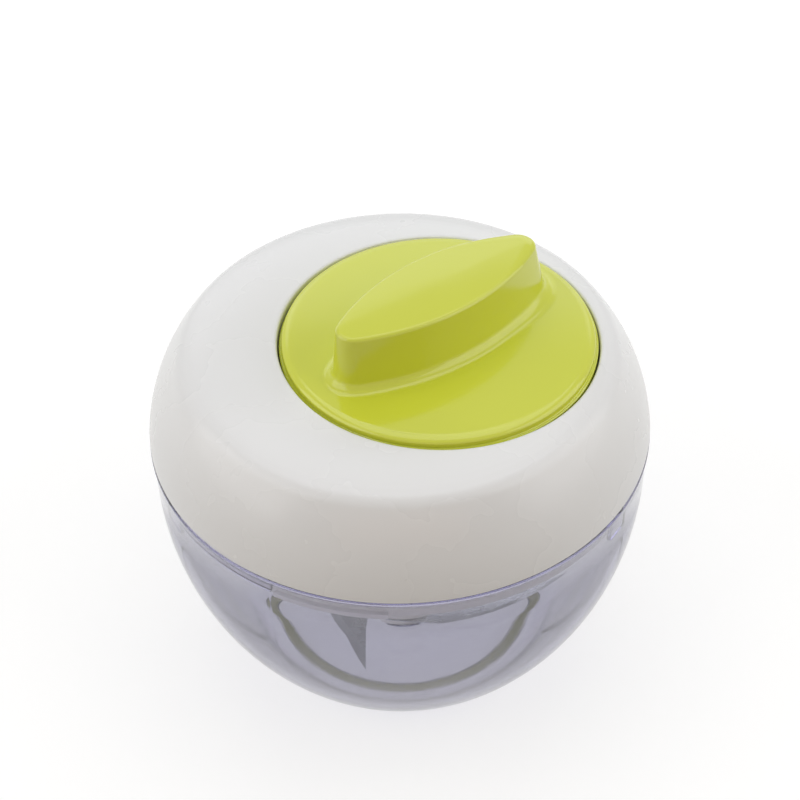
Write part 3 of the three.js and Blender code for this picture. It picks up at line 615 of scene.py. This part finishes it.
def fin_foot(side, turn):
    point = fin_point(side, draft(side) + foot_width(side) * (1 - cos(turn)))
    return lift(point, disc_height(foot_end(side).length) + foot_rise * (1 - sin(turn)))


def disc_strip(side, share):
    foot = foot_end(side)
    point = foot.lerp(foot.normalized() * (disc_radius - roll_run), share)
    return lift(point, disc_height(point.length))


def round_ring(side, radius, height):
    return lift(fin_point(side, 0).normalized() * radius, height)


def fin_hollow(side, height):
    return lift(fin_point(side, -fin_shell), height)


# %% [markdown]
# The rings are listed from the top of the fin to the disc, over its edge, down the skirt, and up again
# inside. The fin is hollow, as a thick moulding has to be so that it doesn't sink in as it cools. A
# core inside it carries the hub, with its socket and the pilot hole of the screw. The knob is drawn
# about its own axis, and is turned and moved to its place at the end.

# %% The knob
knob_rings = [(fin_cap, share) for share in span(0, 1, 14)]
for shape, last, steps in (
    (fin_edge, pi / 2, 10), (fin_wall, 1, 8), (fin_foot, pi / 2, 12), (disc_strip, 1, 22),
):
    knob_rings += [(shape, value) for value in span(0, last, steps)[1:]]
for turn in span(roll_start, pi / 2, 12)[1:]:
    run = roll_run * (1 - sin(turn)) / (1 - sin(roll_start))
    fall = roll_fall * (1 - cos(turn) / cos(roll_start))
    knob_rings.append((round_ring, disc_radius - run, disc_edge - fall))
for across, height in (
    (disc_radius, ledge_top + ledge_edge), (disc_radius + ledge_edge, ledge_top),
    (knob_radius - skirt_brow, ledge_top), (knob_radius, ledge_top - skirt_brow),
    (knob_radius, skirt_bottom + skirt_edge), (knob_radius - skirt_edge, skirt_bottom),
    (skirt_inner + skirt_edge, skirt_bottom), (skirt_inner, skirt_bottom + skirt_edge),
    (skirt_inner, disc_under - skirt_foot), (skirt_inner - skirt_foot, disc_under),
):
    knob_rings.append((round_ring, across, height))
hub_radius, hub_edge = 7.8, 0.4
core_radius = 4.6
socket_radius, socket_depth = 5.3, 3.8
pilot_radius, pilot_depth, pilot_tip = 2.0, 10.6, 11.4
knob_rings += [(fin_hollow, disc_under), (fin_hollow, fin_top - hollow_drop)]
for across, height in (
    (core_radius, fin_top - fin_shell), (core_radius, disc_under), (hub_radius, disc_under),
    (hub_radius, hub_bottom + hub_edge), (hub_radius - hub_edge, hub_bottom),
    (socket_radius, hub_bottom), (socket_radius, hub_bottom + socket_depth),
    (pilot_radius, hub_bottom + socket_depth), (pilot_radius, hub_bottom + pilot_depth),
    (0, hub_bottom + pilot_tip),
):
    knob_rings.append((round_ring, across, height))


def turn_mesh(bm, angle):
    bmesh.ops.rotate(bm, verts=bm.verts, cent=(0, 0, 0), matrix=Matrix.Rotation(angle, 3, "Z"))


def place_on_knob(ring, side):
    shape, *values = ring
    return shape(side, *values)


knob_mesh = loft(knob_rings, len(fin_sides), place_on_knob)
turn_mesh(knob_mesh, fin_turn)
bmesh.ops.translate(knob_mesh, verts=knob_mesh.verts, vec=(knob_axis * MM, 0, 0))
finish_piece("knob_moulding", knob_mesh, "knob", lime_abs, ["knob"])

# %% [markdown]
# The bowl is a turned shape with ribs, bayonet lugs and stop tabs moulded on its inside. A boolean
# would leave long thin faces in clear plastic, where they show as scratches. Instead the sides of the
# ring are crowded beside each rib and lug, and the inner wall's vertices there move inwards, so the
# whole bowl is one clean skin. A side is an angle in degrees, an offset in millimetres, so that a rib
# keeps its width while the bowl narrows, and how far a lug, a stop and a rib stand out there, from 0 to 1.

# %% The bowl's sides and section
bowl_wall = 2.2
rim_lip, rim_depth = 0.5, 1.8
rim_round = 1.2
wall_radius = lid_radius - rim_lip
bowl_inner = wall_radius - bowl_wall
foot_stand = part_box("bowl")[0].z / MM
seam_height = rim_top + seam_gap / 2
plain_run, floor_wall = 15, 2.6
curve_height = seam_height - plain_run
base_inset = 26.68
base_edge = wall_radius - base_inset
curve_drop = curve_height - foot_stand
bowl_curve = (base_inset ** 2 + curve_drop ** 2) / (2 * base_inset)
floor_top = foot_stand + floor_wall
lug_start, lug_end, stop_run = 4, 6, 4.5
lug_low, lug_high = seam_height - lug_end, seam_height - lug_start
stop_low = lug_low - stop_run
rib_start, rib_rise, rib_step = 17.5, 6, 0.5
rib_low, rib_high = floor_top + rib_rise, seam_height - rib_start
lug_depth, rib_depth = 1.9, 1.3
crowd_radius = 30
lug_first, lug_angle, stop_angle = -36, 36, 6
rib_profile = [
    (-1.5, 0), (-0.95, 0), (-0.8, 0.9), (-0.6, 1), (0, 1), (0.3, 1), (0.6, 1), (0.8, 0.9), (0.95, 0),
    (1.5, 0),
]


def bowl_radius(height, inset):
    drop = max(0, curve_height - height)
    return wall_radius - bowl_curve + sqrt((bowl_curve - inset) ** 2 - drop ** 2)


bowl_sides = []
for third in range(3):
    first = lug_first + 120 * third
    bowl_sides.append((first, -0.3, 0, 0, 0))
    bowl_sides += [(first + turn, 0, 1, 1, 0) for turn in (0, 1.6, 3.2)]
    for offset, rib in rib_profile:
        bowl_sides.append((first + stop_angle, offset, 1, int(offset <= 0), rib))
    bowl_sides += [(first + turn, 0, 1, 0, 0) for turn in span(8.8, lug_angle - 1.7, 12)]
    bowl_sides += [(first + lug_angle, 0, 1, 0, 0), (first + lug_angle, 0.3, 0, 0, 0)]
    bowl_sides += [(first + turn, 0, 0, 0, 0) for turn in span(lug_angle + 2, 118.3, 38)]
print(f"bowl: {len(bowl_sides)} sides, wall curve {bowl_curve:.1f} mm")

# %% [markdown]
# The section starts under the base, goes out past the groove of the foot ring, up the outside, over
# the rim and down the inside to the boss that holds the pin.

# %% The bowl's rings
bowl_edge, step_run = 0.3, 0.25
base_round, base_middle = 3, 20
groove_wall, groove_width, groove_depth = 1.5, 3.6, 1.5
groove_outer = base_edge - base_round - groove_wall
groove_inner = groove_outer - groove_width
pin_gap, boss_wall, boss_rise, boss_foot, pin_seat = 0.15, 3.4, 4.4, 1.2, 5.2
pin_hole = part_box("bowl_pin")[1].x / MM + pin_gap
boss_radius = pin_hole + boss_wall
boss_top = floor_top + boss_rise
curve_base = Vector((base_edge, foot_stand))
base_round_from = Vector((base_edge - base_round, foot_stand))
base_round_to = Vector((bowl_radius(foot_stand + base_round, 0), foot_stand + base_round))
floor_round, floor_middle = 6, 24
bowl_rings = []


def bowl_ring(radius, height, inside=False):
    bowl_rings.append((radius, height, inside))


for radius, height in (
    (0, 0), (base_middle, 0), (groove_inner - bowl_edge, 0), (groove_inner, bowl_edge),
    (groove_inner, groove_depth), (groove_outer, groove_depth), (groove_outer, bowl_edge),
    (groove_outer + bowl_edge, 0),
):
    bowl_ring(radius, foot_stand + height)
for point in curve(base_round_from, curve_base, base_round_to, 6):
    bowl_ring(point.x, point.y)
for height in span(foot_stand + base_round + 1, curve_height, 34):
    bowl_ring(bowl_radius(height, 0), height)
for radius, drop in (
    (wall_radius, rim_lip + 0.2), (wall_radius + 0.1, rim_lip - 0.1), (lid_radius - 0.1, 0.1),
    (lid_radius, -0.2),
):
    bowl_ring(radius, rim_top - rim_depth - drop)
for rise, fall in rounding(6):
    bowl_ring(lid_radius - rim_round * rise, rim_top - rim_round * fall)
for rise, fall in rounding(3):
    bowl_ring(bowl_inner + bowl_edge * fall, rim_top - bowl_edge * rise, True)
for height in (
    lug_high + step_run, lug_high, lug_low, lug_low - step_run, stop_low, stop_low - step_run,
    curve_height,
):
    bowl_ring(bowl_inner, height, True)
for height in span(rib_high + rib_step, rib_low, 40):
    bowl_ring(bowl_radius(height, bowl_wall), height, True)
floor_round_from = Vector((bowl_radius(rib_low, bowl_wall), rib_low))
floor_corner = Vector((bowl_radius(floor_top, bowl_wall), floor_top))
floor_round_to = Vector((floor_corner.x - floor_round, floor_top))
for point in curve(floor_round_from, floor_corner, floor_round_to, 8)[1:]:
    bowl_ring(point.x, point.y, True)
bowl_ring(floor_middle, floor_top, True)
for rise, fall in rounding(4):
    bowl_ring(boss_radius + boss_foot * fall, floor_top + boss_foot * rise, True)
for radius, drop in (
    (boss_radius, bowl_edge), (boss_radius - bowl_edge, 0), (pin_hole + bowl_edge, 0),
    (pin_hole, bowl_edge), (pin_hole, pin_seat), (0, pin_seat),
):
    bowl_ring(radius, boss_top - drop, True)
print(f"bowl: {len(bowl_rings)} rings, its base {2 * base_edge:.1f} mm wide")

# %% [markdown]
# The outside stays round. Inside, a vertex moves towards the axis where its side and its height are
# those of a lug, a stop or a rib. Clear plastic shows its inner steps, so they matter as much as the
# outline.

# %% The bowl
def within(height, low, high, slack=0.01):
    return low - slack <= height <= high + slack


def place_on_bowl(ring, side):
    radius, height, inside = ring
    first, offset, lug, stop, rib = bowl_sides[side]
    angle = radians(first) + offset / max(radius, crowd_radius)
    if inside:
        at_lug = lug_depth * lug * within(height, lug_low, lug_high)
        at_stop = lug_depth * stop * within(height, stop_low, lug_high)
        at_rib = rib_depth * rib * within(height, rib_low + rib_step, rib_high)
        radius -= max(at_lug, at_stop, at_rib)
    return Vector((radius * cos(angle), radius * sin(angle), height))


finish_piece(
    "bowl_clear", loft(bowl_rings, len(bowl_sides), place_on_bowl), "bowl", clear_san,
    ["bowl"], sharp=28,
)

# %% [markdown]
# What shows through the bowl is turned: the gear cover with its collar, the soft seal around it, the
# foot ring, the spindle and its sleeves. Cylinders with a bevel would do for some, but a section that
# is spun about the axis can have any corner rounded by its own amount, so one helper makes them all.

# %% Helpers for turned pieces
def smooth_outline(corners, steps=4):
    """Rounds the corners of a closed outline. A corner is (across, up, radius) in mm."""
    outline = []
    count = len(corners)
    for i, (across, up, radius) in enumerate(corners):
        corner = Vector((across, up))
        if radius == 0:
            outline.append(corner)
            continue
        before = Vector(corners[i - 1][:2])
        after = Vector(corners[(i + 1) % count][:2])
        start = corner + (before - corner).normalized() * radius
        end = corner + (after - corner).normalized() * radius
        outline += curve(start, corner, end, steps)
    return outline


def turned(corners, steps=96, from_angle=0, sweep=2 * pi, closed=True):
    """Spins an outline about Z, all the way round or through part of a turn."""
    bm = bmesh.new()
    outline = smooth_outline(corners)
    verts = [bm.verts.new((point.x * MM, 0, point.y * MM)) for point in outline]
    for i, vert in enumerate(verts):
        if (closed or i > 0) and (vert.co.x > 0 or verts[i - 1].co.x > 0):
            bm.edges.new((verts[i - 1], vert))
    whole = sweep > 2 * pi - 1e-6
    if not whole:
        bm.faces.new(verts)
    geom = bm.verts[:] + bm.edges[:] + bm.faces[:]
    turn_mesh(bm, from_angle)
    bmesh.ops.spin(
        bm, geom=geom, cent=(0, 0, 0), axis=(0, 0, 1), angle=sweep, steps=steps, use_merge=whole,
    )
    return bm


def join(bm, *others):
    """Adds the shells of other meshes to bm."""
    for other in others:
        mesh = bpy.data.meshes.new("shell")
        other.to_mesh(mesh)
        other.free()
        bm.from_mesh(mesh)
        bpy.data.meshes.remove(mesh)
    return bm


def fill_flat(bm, height):
    """Fills the flat between the open edges at a height, and leaves the holes in it open."""
    bmesh.ops.remove_doubles(bm, verts=bm.verts, dist=weld_gap)
    edges = [
        edge for edge in bm.edges
        if edge.is_boundary and all(abs(vert.co.z / MM - height) < 0.001 for vert in edge.verts)
    ]
    bmesh.ops.triangle_fill(bm, edges=edges, use_beauty=True)


# %% [markdown]
# The gear cover is a white plate under the lid, with a collar that shows just under the seam. Holes
# could be cut by a boolean. Instead the plate is left open at first, the countersunk screw holes are
# spun in place, and the flats are filled round them, which leaves no stray edges. The three lugs that
# lock the lid are short spins of a small section, sunk into the collar.

# %% Gear cover
cover_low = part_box("gear_cover")[0].z / MM
cover_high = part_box("gear_cover")[1].z / MM
collar_gap, collar_wall = 2.3, 2.4
collar_outer = bowl_inner - collar_gap
collar_inner = collar_outer - collar_wall
plate_drop, plate_wall, plate_run, bore_run = 5, 3, 1.5, 0.6
plate_low = seam_height - plate_drop
plate_high = plate_low + plate_wall
boss_bore, cover_boss_wall = 5.4, 2.2
cover_boss = boss_bore + cover_boss_wall
cover_boss_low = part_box("shaft_bush")[0].z / MM
cover = turned([
    (collar_inner - plate_run, plate_low, 0), (collar_inner, plate_low, 1.0),
    (collar_inner, cover_low, 0.4), (collar_outer, cover_low, 0.4), (collar_outer, cover_high, 0.4),
    (collar_inner, cover_high, 0.4), (collar_inner, plate_high, 1.0),
    (collar_inner - plate_run, plate_high, 0),
], steps=180, closed=False)
cover_boss_skin = turned([
    (boss_bore + bore_run, plate_high, 0), (boss_bore, plate_high, 0.3),
    (boss_bore, cover_boss_low, 0.3), (cover_boss, cover_boss_low, 0.4), (cover_boss, plate_low, 1.0),
    (cover_boss + plate_run, plate_low, 0),
], steps=72, closed=False)
screw_holes = []
sink_radius, sink_depth, hole_radius = 3.0, 1.6, 1.55
for number in (1, 2, 3, 4):
    low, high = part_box(f"cover_screw_{number}")
    sink_top = low.z / MM + sink_depth
    screw_hole = turned([
        (sink_radius, plate_low, 0), (sink_radius, sink_top, 0),
        (hole_radius, sink_top, 0), (hole_radius, plate_high, 0),
    ], steps=36, closed=False)
    centre = ((low.x + high.x) / 2, (low.y + high.y) / 2, 0)
    bmesh.ops.translate(screw_hole, verts=screw_hole.verts, vec=centre)
    screw_holes.append(screw_hole)
cover = join(cover, cover_boss_skin, *screw_holes)
fill_flat(cover, plate_low)
fill_flat(cover, plate_high)
lug_gap, lid_lug_height, lid_lug_sweep, lid_lug_first = 0.4, 2, 26, 0.6
lid_lug_high = lug_low - lug_gap
lid_lug_low = lid_lug_high - lid_lug_height
cover_lugs = [
    turned([
        (collar_outer - lug_gap, lid_lug_low, 0.2), (bowl_inner - lug_gap, lid_lug_low, 0.4),
        (bowl_inner - lug_gap, lid_lug_high, 0.4), (collar_outer - lug_gap, lid_lug_high, 0.2),
    ], steps=20, from_angle=radians(lid_lug_first + 120 * third), sweep=radians(lid_lug_sweep))
    for third in range(3)
]
finish_piece(
    "gear_cover_collar", join(cover, *cover_lugs), "lid", white_abs, ["gear_cover"],
)
print(f"collar {collar_inner:.1f} to {collar_outer:.1f} mm, lugs out to {bowl_inner - lug_gap:.1f} mm")

# %% [markdown]
# The seal is a ring of milky silicone between the collar and the bowl, with a soft lip round its
# middle. The foot ring is lime elastomer in a groove of the base, and keeps the bowl from sliding. A
# torus would be quicker, but neither has a round section, so both are spun too.

# %% Seal and foot ring
seal_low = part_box("lid_seal")[0].z / MM
seal_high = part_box("lid_seal")[1].z / MM
seal_gap, seal_lip = 0.3, 0.5
seal_inner = collar_outer + seal_gap
seal_outer = bowl_inner - seal_gap
seal_middle = (seal_low + seal_high) / 2
finish_piece(
    "seal_ring",
    turned([
        (seal_inner, seal_low, 0.2), (seal_outer - seal_lip, seal_low, 0.3),
        (seal_outer, seal_middle, 0.5), (seal_outer - seal_lip, seal_high, 0.3),
        (seal_inner, seal_high, 0.2),
    ], steps=180),
    "seal", milky_silicone, ["lid_seal"],
)
foot_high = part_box("foot_ring")[1].z / MM
foot_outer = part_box("foot_ring")[1].x / MM
foot_tread = 3.0
foot_inner = foot_outer - foot_tread
finish_piece(
    "foot_tread",
    turned([
        (foot_inner, 0, 0.5), (foot_outer, 0, 0.5), (foot_outer, foot_high, 0.2),
        (foot_inner, foot_high, 0.2),
    ], steps=144),
    "bowl", lime_elastomer, ["foot_ring"],
)

# %% [markdown]
# The spindle is one nylon moulding: a flatted core, a shoulder that the upper sleeve meets, and a cup
# on top that takes the drive dog between three keys. Its two flats are hidden in the sleeves, so here
# the core is left round.

# %% Spindle, sleeves and pin
spindle_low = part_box("blade_spindle")[0].z / MM
spindle_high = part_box("blade_spindle")[1].z / MM
cup_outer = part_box("blade_spindle")[1].y / MM
sleeve_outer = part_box("spacer_upper")[1].x / MM
play, dog_gap = 0.3, 0.6
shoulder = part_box("blade_upper")[1].z / MM + play
cup_wall, cup_neck, cup_base = 2, 3.4, 2.6
core_outer = 4.1
cup_inner = cup_outer - cup_wall
cup_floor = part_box("drive_dog")[0].z / MM - dog_gap
pin_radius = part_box("bowl_pin")[1].x / MM
pin_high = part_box("bowl_pin")[1].z / MM
spindle = turned([
    (0, pin_high + play, 0), (pin_radius + play, pin_high + play, 0),
    (pin_radius + play, spindle_low, 0.3), (core_outer, spindle_low, 0.3), (core_outer, shoulder, 0),
    (sleeve_outer, shoulder, 0.4), (sleeve_outer, cup_floor - cup_neck, 1.5),
    (cup_outer, cup_floor - cup_base, 2.2), (cup_outer, spindle_high, 0.4),
    (cup_inner, spindle_high, 0.6), (cup_inner, cup_floor, 0.4), (0, cup_floor, 0),
], steps=72)
key_inner, key_sunk, key_drop = 5.3, 0.4, 3
key_first, key_sweep = 48, 24
key_top = spindle_high - key_drop
cup_keys = [
    turned([
        (key_inner, cup_floor - key_sunk, 0.2), (cup_inner + key_sunk, cup_floor - key_sunk, 0.2),
        (cup_inner + key_sunk, key_top, 0.2), (key_inner, key_top, 0.5),
    ], steps=8, from_angle=radians(key_first + 120 * key), sweep=radians(key_sweep))
    for key in range(3)
]
finish_piece(
    "spindle_cup", join(spindle, *cup_keys), "blades", white_nylon,
    ["blade_spindle"],
)
sleeve_bore = 4.5
for name, node in (
    ("sleeve_foot", "spindle_foot"), ("sleeve_lower", "spacer_lower"), ("sleeve_upper", "spacer_upper"),
):
    low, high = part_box(node)
    finish_piece(
        name,
        turned([
            (sleeve_bore, low.z / MM, 0.2), (sleeve_outer, low.z / MM, 0.5),
            (sleeve_outer, high.z / MM, 0.5), (sleeve_bore, high.z / MM, 0.2),
        ], steps=72),
        "blades", white_nylon, [node],
    )
pin_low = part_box("bowl_pin")[0].z / MM
finish_piece(
    "pin_turned",
    turned([
        (0, pin_low, 0), (pin_radius, pin_low, 0.2), (pin_radius, pin_high, 1.4), (0, pin_high, 0),
    ], steps=40),
    "bowl", turned_steel, ["bowl_pin"],
)

# %% [markdown]
# A blade is stamped from one millimetre strip and then ground along its bowed edge. Its outline is
# two arcs that meet at the tip, and the round eye on the spindle. Each low point of the edge has a
# high partner where the ground face ends: one grind width further in, or less where the back comes
# first, near the tip. A bevel tool gives one width everywhere, and can't run out at the tip as a
# ground face does.

# %% The outline of a blade
blade_eye, heel_angle = 7.9, pi / 6
blade_root, tail_share = 6, 0.42
blade_gap = 3
blade_bow, blade_back_bow = 17, 4.5
grind_width = 2.6
hole_flat = 3.8
axis = Vector((0, 0))


def bow(tail, reach, sagitta):
    """Middle and radius of the circle through both ends of a chord on X, bulging to -Y."""
    half = (reach - tail) / 2
    radius = (half ** 2 + sagitta ** 2) / (2 * sagitta)
    return Vector(((tail + reach) / 2, radius - sagitta)), radius


def arc(middle, radius, first, last, steps):
    return [middle + Vector((cos(a), sin(a))) * radius for a in span(first, last, steps)]


def bearing(middle, point):
    return atan2(point.y - middle.y, point.x - middle.x)


def way_to(point, direction, middle, radius):
    """How far a point has to move in a direction to meet a circle."""
    offset = point - middle
    across = offset.dot(direction)
    return -across - sqrt(max(0, across ** 2 - offset.length_squared + radius ** 2))


def right_crossing(middle, radius, other, other_radius):
    """The crossing of two circles that lies further to the right."""
    return max(intersect_sphere_sphere_2d(middle, radius, other, other_radius), key=lambda p: p.x)


def blade_outline(reach):
    """Walks round a blade: low point, its high partner, and the partner's share of the height."""
    tail = -tail_share * reach
    edge_middle, edge_radius = bow(tail, reach, blade_bow)
    back_middle, back_radius = bow(tail, reach, blade_back_bow)
    inner_radius = edge_radius - grind_width
    heel = Vector((-sin(heel_angle), -cos(heel_angle))) * blade_eye
    root_run = blade_root - edge_middle.x
    root = edge_middle + Vector((root_run, -sqrt(edge_radius ** 2 - root_run ** 2)))
    tip = Vector((reach, 0))
    grind_end = right_crossing(edge_middle, inner_radius, back_middle, back_radius)
    eye_end = right_crossing(axis, blade_eye, back_middle, back_radius)
    to_heel = (heel - root).normalized()
    grind_start = root + to_heel * way_to(root, to_heel, edge_middle, inner_radius)
    first, turn_in, last = [bearing(edge_middle, point) for point in (root, grind_end, tip)]
    outline = [(heel, heel, 1), (grind_start, grind_start, 1), (root, grind_start, 1)]
    for point in arc(edge_middle, edge_radius, first, turn_in, 48)[1:-1]:
        outline.append((point, edge_middle.lerp(point, inner_radius / edge_radius), 1))
    near_tip = []
    for point in arc(edge_middle, edge_radius, turn_in, last, 10)[:-1]:
        inward = (edge_middle - point).normalized()
        depth = min(grind_width, way_to(point, inward, back_middle, back_radius))
        near_tip.append((point, point + inward * depth, depth / grind_width))
    outline += near_tip + [(tip, tip, 0)]
    outline += [(high, high, share) for low, high, share in reversed(near_tip)]
    back_from, back_to = bearing(back_middle, grind_end), bearing(back_middle, eye_end)
    back = arc(back_middle, back_radius, back_from, back_to, 30)[1:]
    eye = arc(axis, blade_eye, bearing(axis, eye_end), bearing(axis, heel) + 2 * pi, 48)[1:-1]
    return outline + [(point, point, 1) for point in back + eye]


print(f"blades: edge bowed by {blade_bow} mm, back by {blade_back_bow} mm, ground {grind_width} mm wide")

# %% [markdown]
# The outline's edges are extruded to their partners, the flats are filled round the flatted hole, and
# the ground face takes a brighter finish than the strip. The blade is then turned to its place, while
# its hole keeps pointing the same way, because all three sit on the same two flats.

# %% The blades
def keyed_hole(turn):
    """The spindle's flatted hole, which points the same way on every blade."""
    corner = acos(hole_flat / sleeve_bore)
    points = arc(axis, sleeve_bore, corner, pi - corner, 24)
    points += arc(axis, sleeve_bore, pi + corner, 2 * pi - corner, 24)
    points = [Matrix.Rotation(-turn, 2) @ point for point in points]
    return [(point, point, 1) for point in points]


def blade(name, node, turn):
    low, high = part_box(node)
    bottom, top = low.z / MM, high.z / MM
    reach = bowl_radius(bottom, bowl_wall) - rib_depth - blade_gap
    bm = bmesh.new()
    partner_of = bm.verts.layers.int.new("partner")
    partners = []
    for outline in (blade_outline(reach), keyed_hole(turn)):
        ring = []
        for point, partner, share in outline:
            vert = bm.verts.new((point.x * MM, point.y * MM, bottom * MM))
            vert[partner_of] = len(partners)
            partners.append(lift(partner, bottom + (top - bottom) * share) * MM)
            ring.append(vert)
        for i, vert in enumerate(ring):
            bm.edges.new((ring[i - 1], vert))
    pulled = bmesh.ops.extrude_edge_only(bm, edges=bm.edges[:])["geom"]
    for vert in [part for part in pulled if isinstance(part, bmesh.types.BMVert)]:
        vert.co = partners[vert[partner_of]]
    fill_flat(bm, bottom)
    fill_flat(bm, top)
    turn_mesh(bm, turn)
    piece = finish_piece(name, bm, "blades", strip_steel, [node], sharp=12)
    piece.data.materials.append(ground_steel)
    ground = [face for face in piece.data.polygons if 0.5 < face.normal.z < 0.98]
    for face in ground:
        face.material_index = 1
    print(f"{name}: reaches {reach:.1f} mm, {len(ground)} ground faces")


blade("blade_low", "blade_lower", radians(20))
blade("blade_mid", "blade_middle", radians(140))
blade("blade_high", "blade_upper", radians(260))

# %% [markdown]
# The gears, the dog, the screws and the washers stay as the CAD part has them, because their shape
# is right and they are closed in. They get the finish of their real material.

# %% Finishes of the carried-over nodes
carried = {
    turned_steel: [
        "cover_screw_1", "cover_screw_2", "cover_screw_3", "cover_screw_4", "knob_washer",
        "knob_screw", "output_shaft", "thrust_washer",
    ],
    polyacetal: ["shaft_bush", "glide_ring", "ring_gear", "pinion", "drive_dog"],
}
for material, names in carried.items():
    for name in names:
        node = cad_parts[name]
        node.data.materials.clear()
        node.data.materials.append(material)
print("carried over:", sum(len(names) for names in carried.values()), "nodes")

# %% [markdown]
# The studio is plain. The photograph's background is pure white, so the floor is pale and glows where
# it is looked at: by the camera itself, in a reflection, or through the clear bowl. All three see the
# same strength. Further out the lamps reach the floor less, so the glow rises to plain white there.
# The light that falls on the chopper does not include the glow, and its shadow stays.

# %% Floor
def reckon(tree, operation, first, second):
    """The value that an operation such as MAXIMUM makes of two others."""
    return add(tree, "ShaderNodeMath", {"operation": operation}, {0: first, 1: second}).outputs[0]


def looked_at(tree):
    """Gives 1 for camera, glossy and transmission rays, and 0 for the rays that light the object."""
    path = add(tree, "ShaderNodeLightPath", {}, {})
    mirrored = reckon(tree, "MAXIMUM", path.outputs["Is Glossy Ray"], path.outputs["Is Transmission Ray"])
    return reckon(tree, "MAXIMUM", path.outputs["Is Camera Ray"], mirrored)


def backdrop_material(name, colour, glow, glow_near, glow_far):
    """A matt floor whose glow rises to 1 between two distances from the part, in metres."""
    material = bpy.data.materials.new(name)
    tree = bare_tree(material)
    matt = add(tree, "ShaderNodeBsdfDiffuse", {"Color": linear(colour)}, {})
    place = add(tree, "ShaderNodeTexCoord", {}, {}).outputs["Object"]
    away = add(tree, "ShaderNodeVectorMath", {"operation": "LENGTH"}, {0: place})
    fade = spread(tree, away.outputs["Value"], glow_near, glow_far, glow, 1)
    glow_here = reckon(tree, "MULTIPLY", looked_at(tree), fade)
    shine = add(tree, "ShaderNodeEmission", {"Color": (1, 1, 1, 1)}, {"Strength": glow_here})
    mixed = add(tree, "ShaderNodeAddShader", {}, {0: matt.outputs[0], 1: shine.outputs[0]})
    add(tree, "ShaderNodeOutputMaterial", {}, {"Surface": mixed.outputs[0]})
    return material


floor_half = 2.5
floor_gap = 0.05 * MM
floor_mesh = bmesh.new()
under_foot = Matrix.Translation((0, 0, -floor_gap))
bmesh.ops.create_grid(floor_mesh, x_segments=1, y_segments=1, size=floor_half, matrix=under_foot)
floor = add_object("studio_floor", floor_mesh)
floor.data.materials.append(backdrop_material("white_paper", "aeaeac", 0.65, 0.15, 0.7))
print(f"floor: {2 * floor_half:.0f} m wide, {floor_gap / MM:.2f} mm under the chopper")

# %% [markdown]
# A large panel above and a low one behind make the lid's top the palest part, and the low one also
# puts the soft sheen on the far half of the knob. Two panels at the sides keep the flanks bright, and
# a small warm card in front warms the side that faces the camera. The world gives an even fill, and is
# plain white wherever it is looked at, as the floor is.

# %% Lamps and world
aim_point = Vector((0, 0, 0.08))


def panel(name, place, size, power, colour):
    """A rectangular lamp that looks at the chopper's middle. Places and sizes are in metres."""
    data = bpy.data.lights.new(name, "AREA")
    data.shape = "RECTANGLE"
    data.size, data.size_y = size
    data.energy = power
    data.color = linear(colour)[:3]
    lamp = bpy.data.objects.new(name, data)
    scene.collection.objects.link(lamp)
    lamp.location = place
    lamp.rotation_euler = (aim_point - Vector(place)).to_track_quat("-Z", "Y").to_euler()
    lamp.visible_camera = False


panel("sky_panel", (0, 0.25, 1.1), (1.1, 0.9), 4.45, "f4f8ff")
panel("back_panel", (0, 1.2, 0.72), (1.5, 0.6), 2.85, "f8faff")
panel("left_panel", (-0.85, -0.22, 0.5), (1.0, 0.9), 4.5, "ffffff")
panel("right_panel", (0.85, -0.15, 0.5), (1.0, 0.9), 4.3, "ffffff")
panel("front_card", (0, -1.2, 0.4), (1.2, 0.5), 0.8, "ffb45c")

world = bpy.data.worlds.new("studio_world")
scene.world = world
tree = bare_tree(world)
fill = add(tree, "ShaderNodeBackground", {"Color": linear("f8f3ea"), "Strength": 0.28}, {})
white = add(tree, "ShaderNodeBackground", {"Color": (1, 1, 1, 1), "Strength": 1}, {})
sky = add(
    tree, "ShaderNodeMixShader", {}, {0: looked_at(tree), 1: fill.outputs[0], 2: white.outputs[0]},
)
add(tree, "ShaderNodeOutputWorld", {}, {"Surface": sky.outputs[0]})

scene.view_settings.view_transform = "Standard"
print("lamps:", ", ".join(f"{lamp.name} {lamp.energy:.2f} W" for lamp in bpy.data.lights))
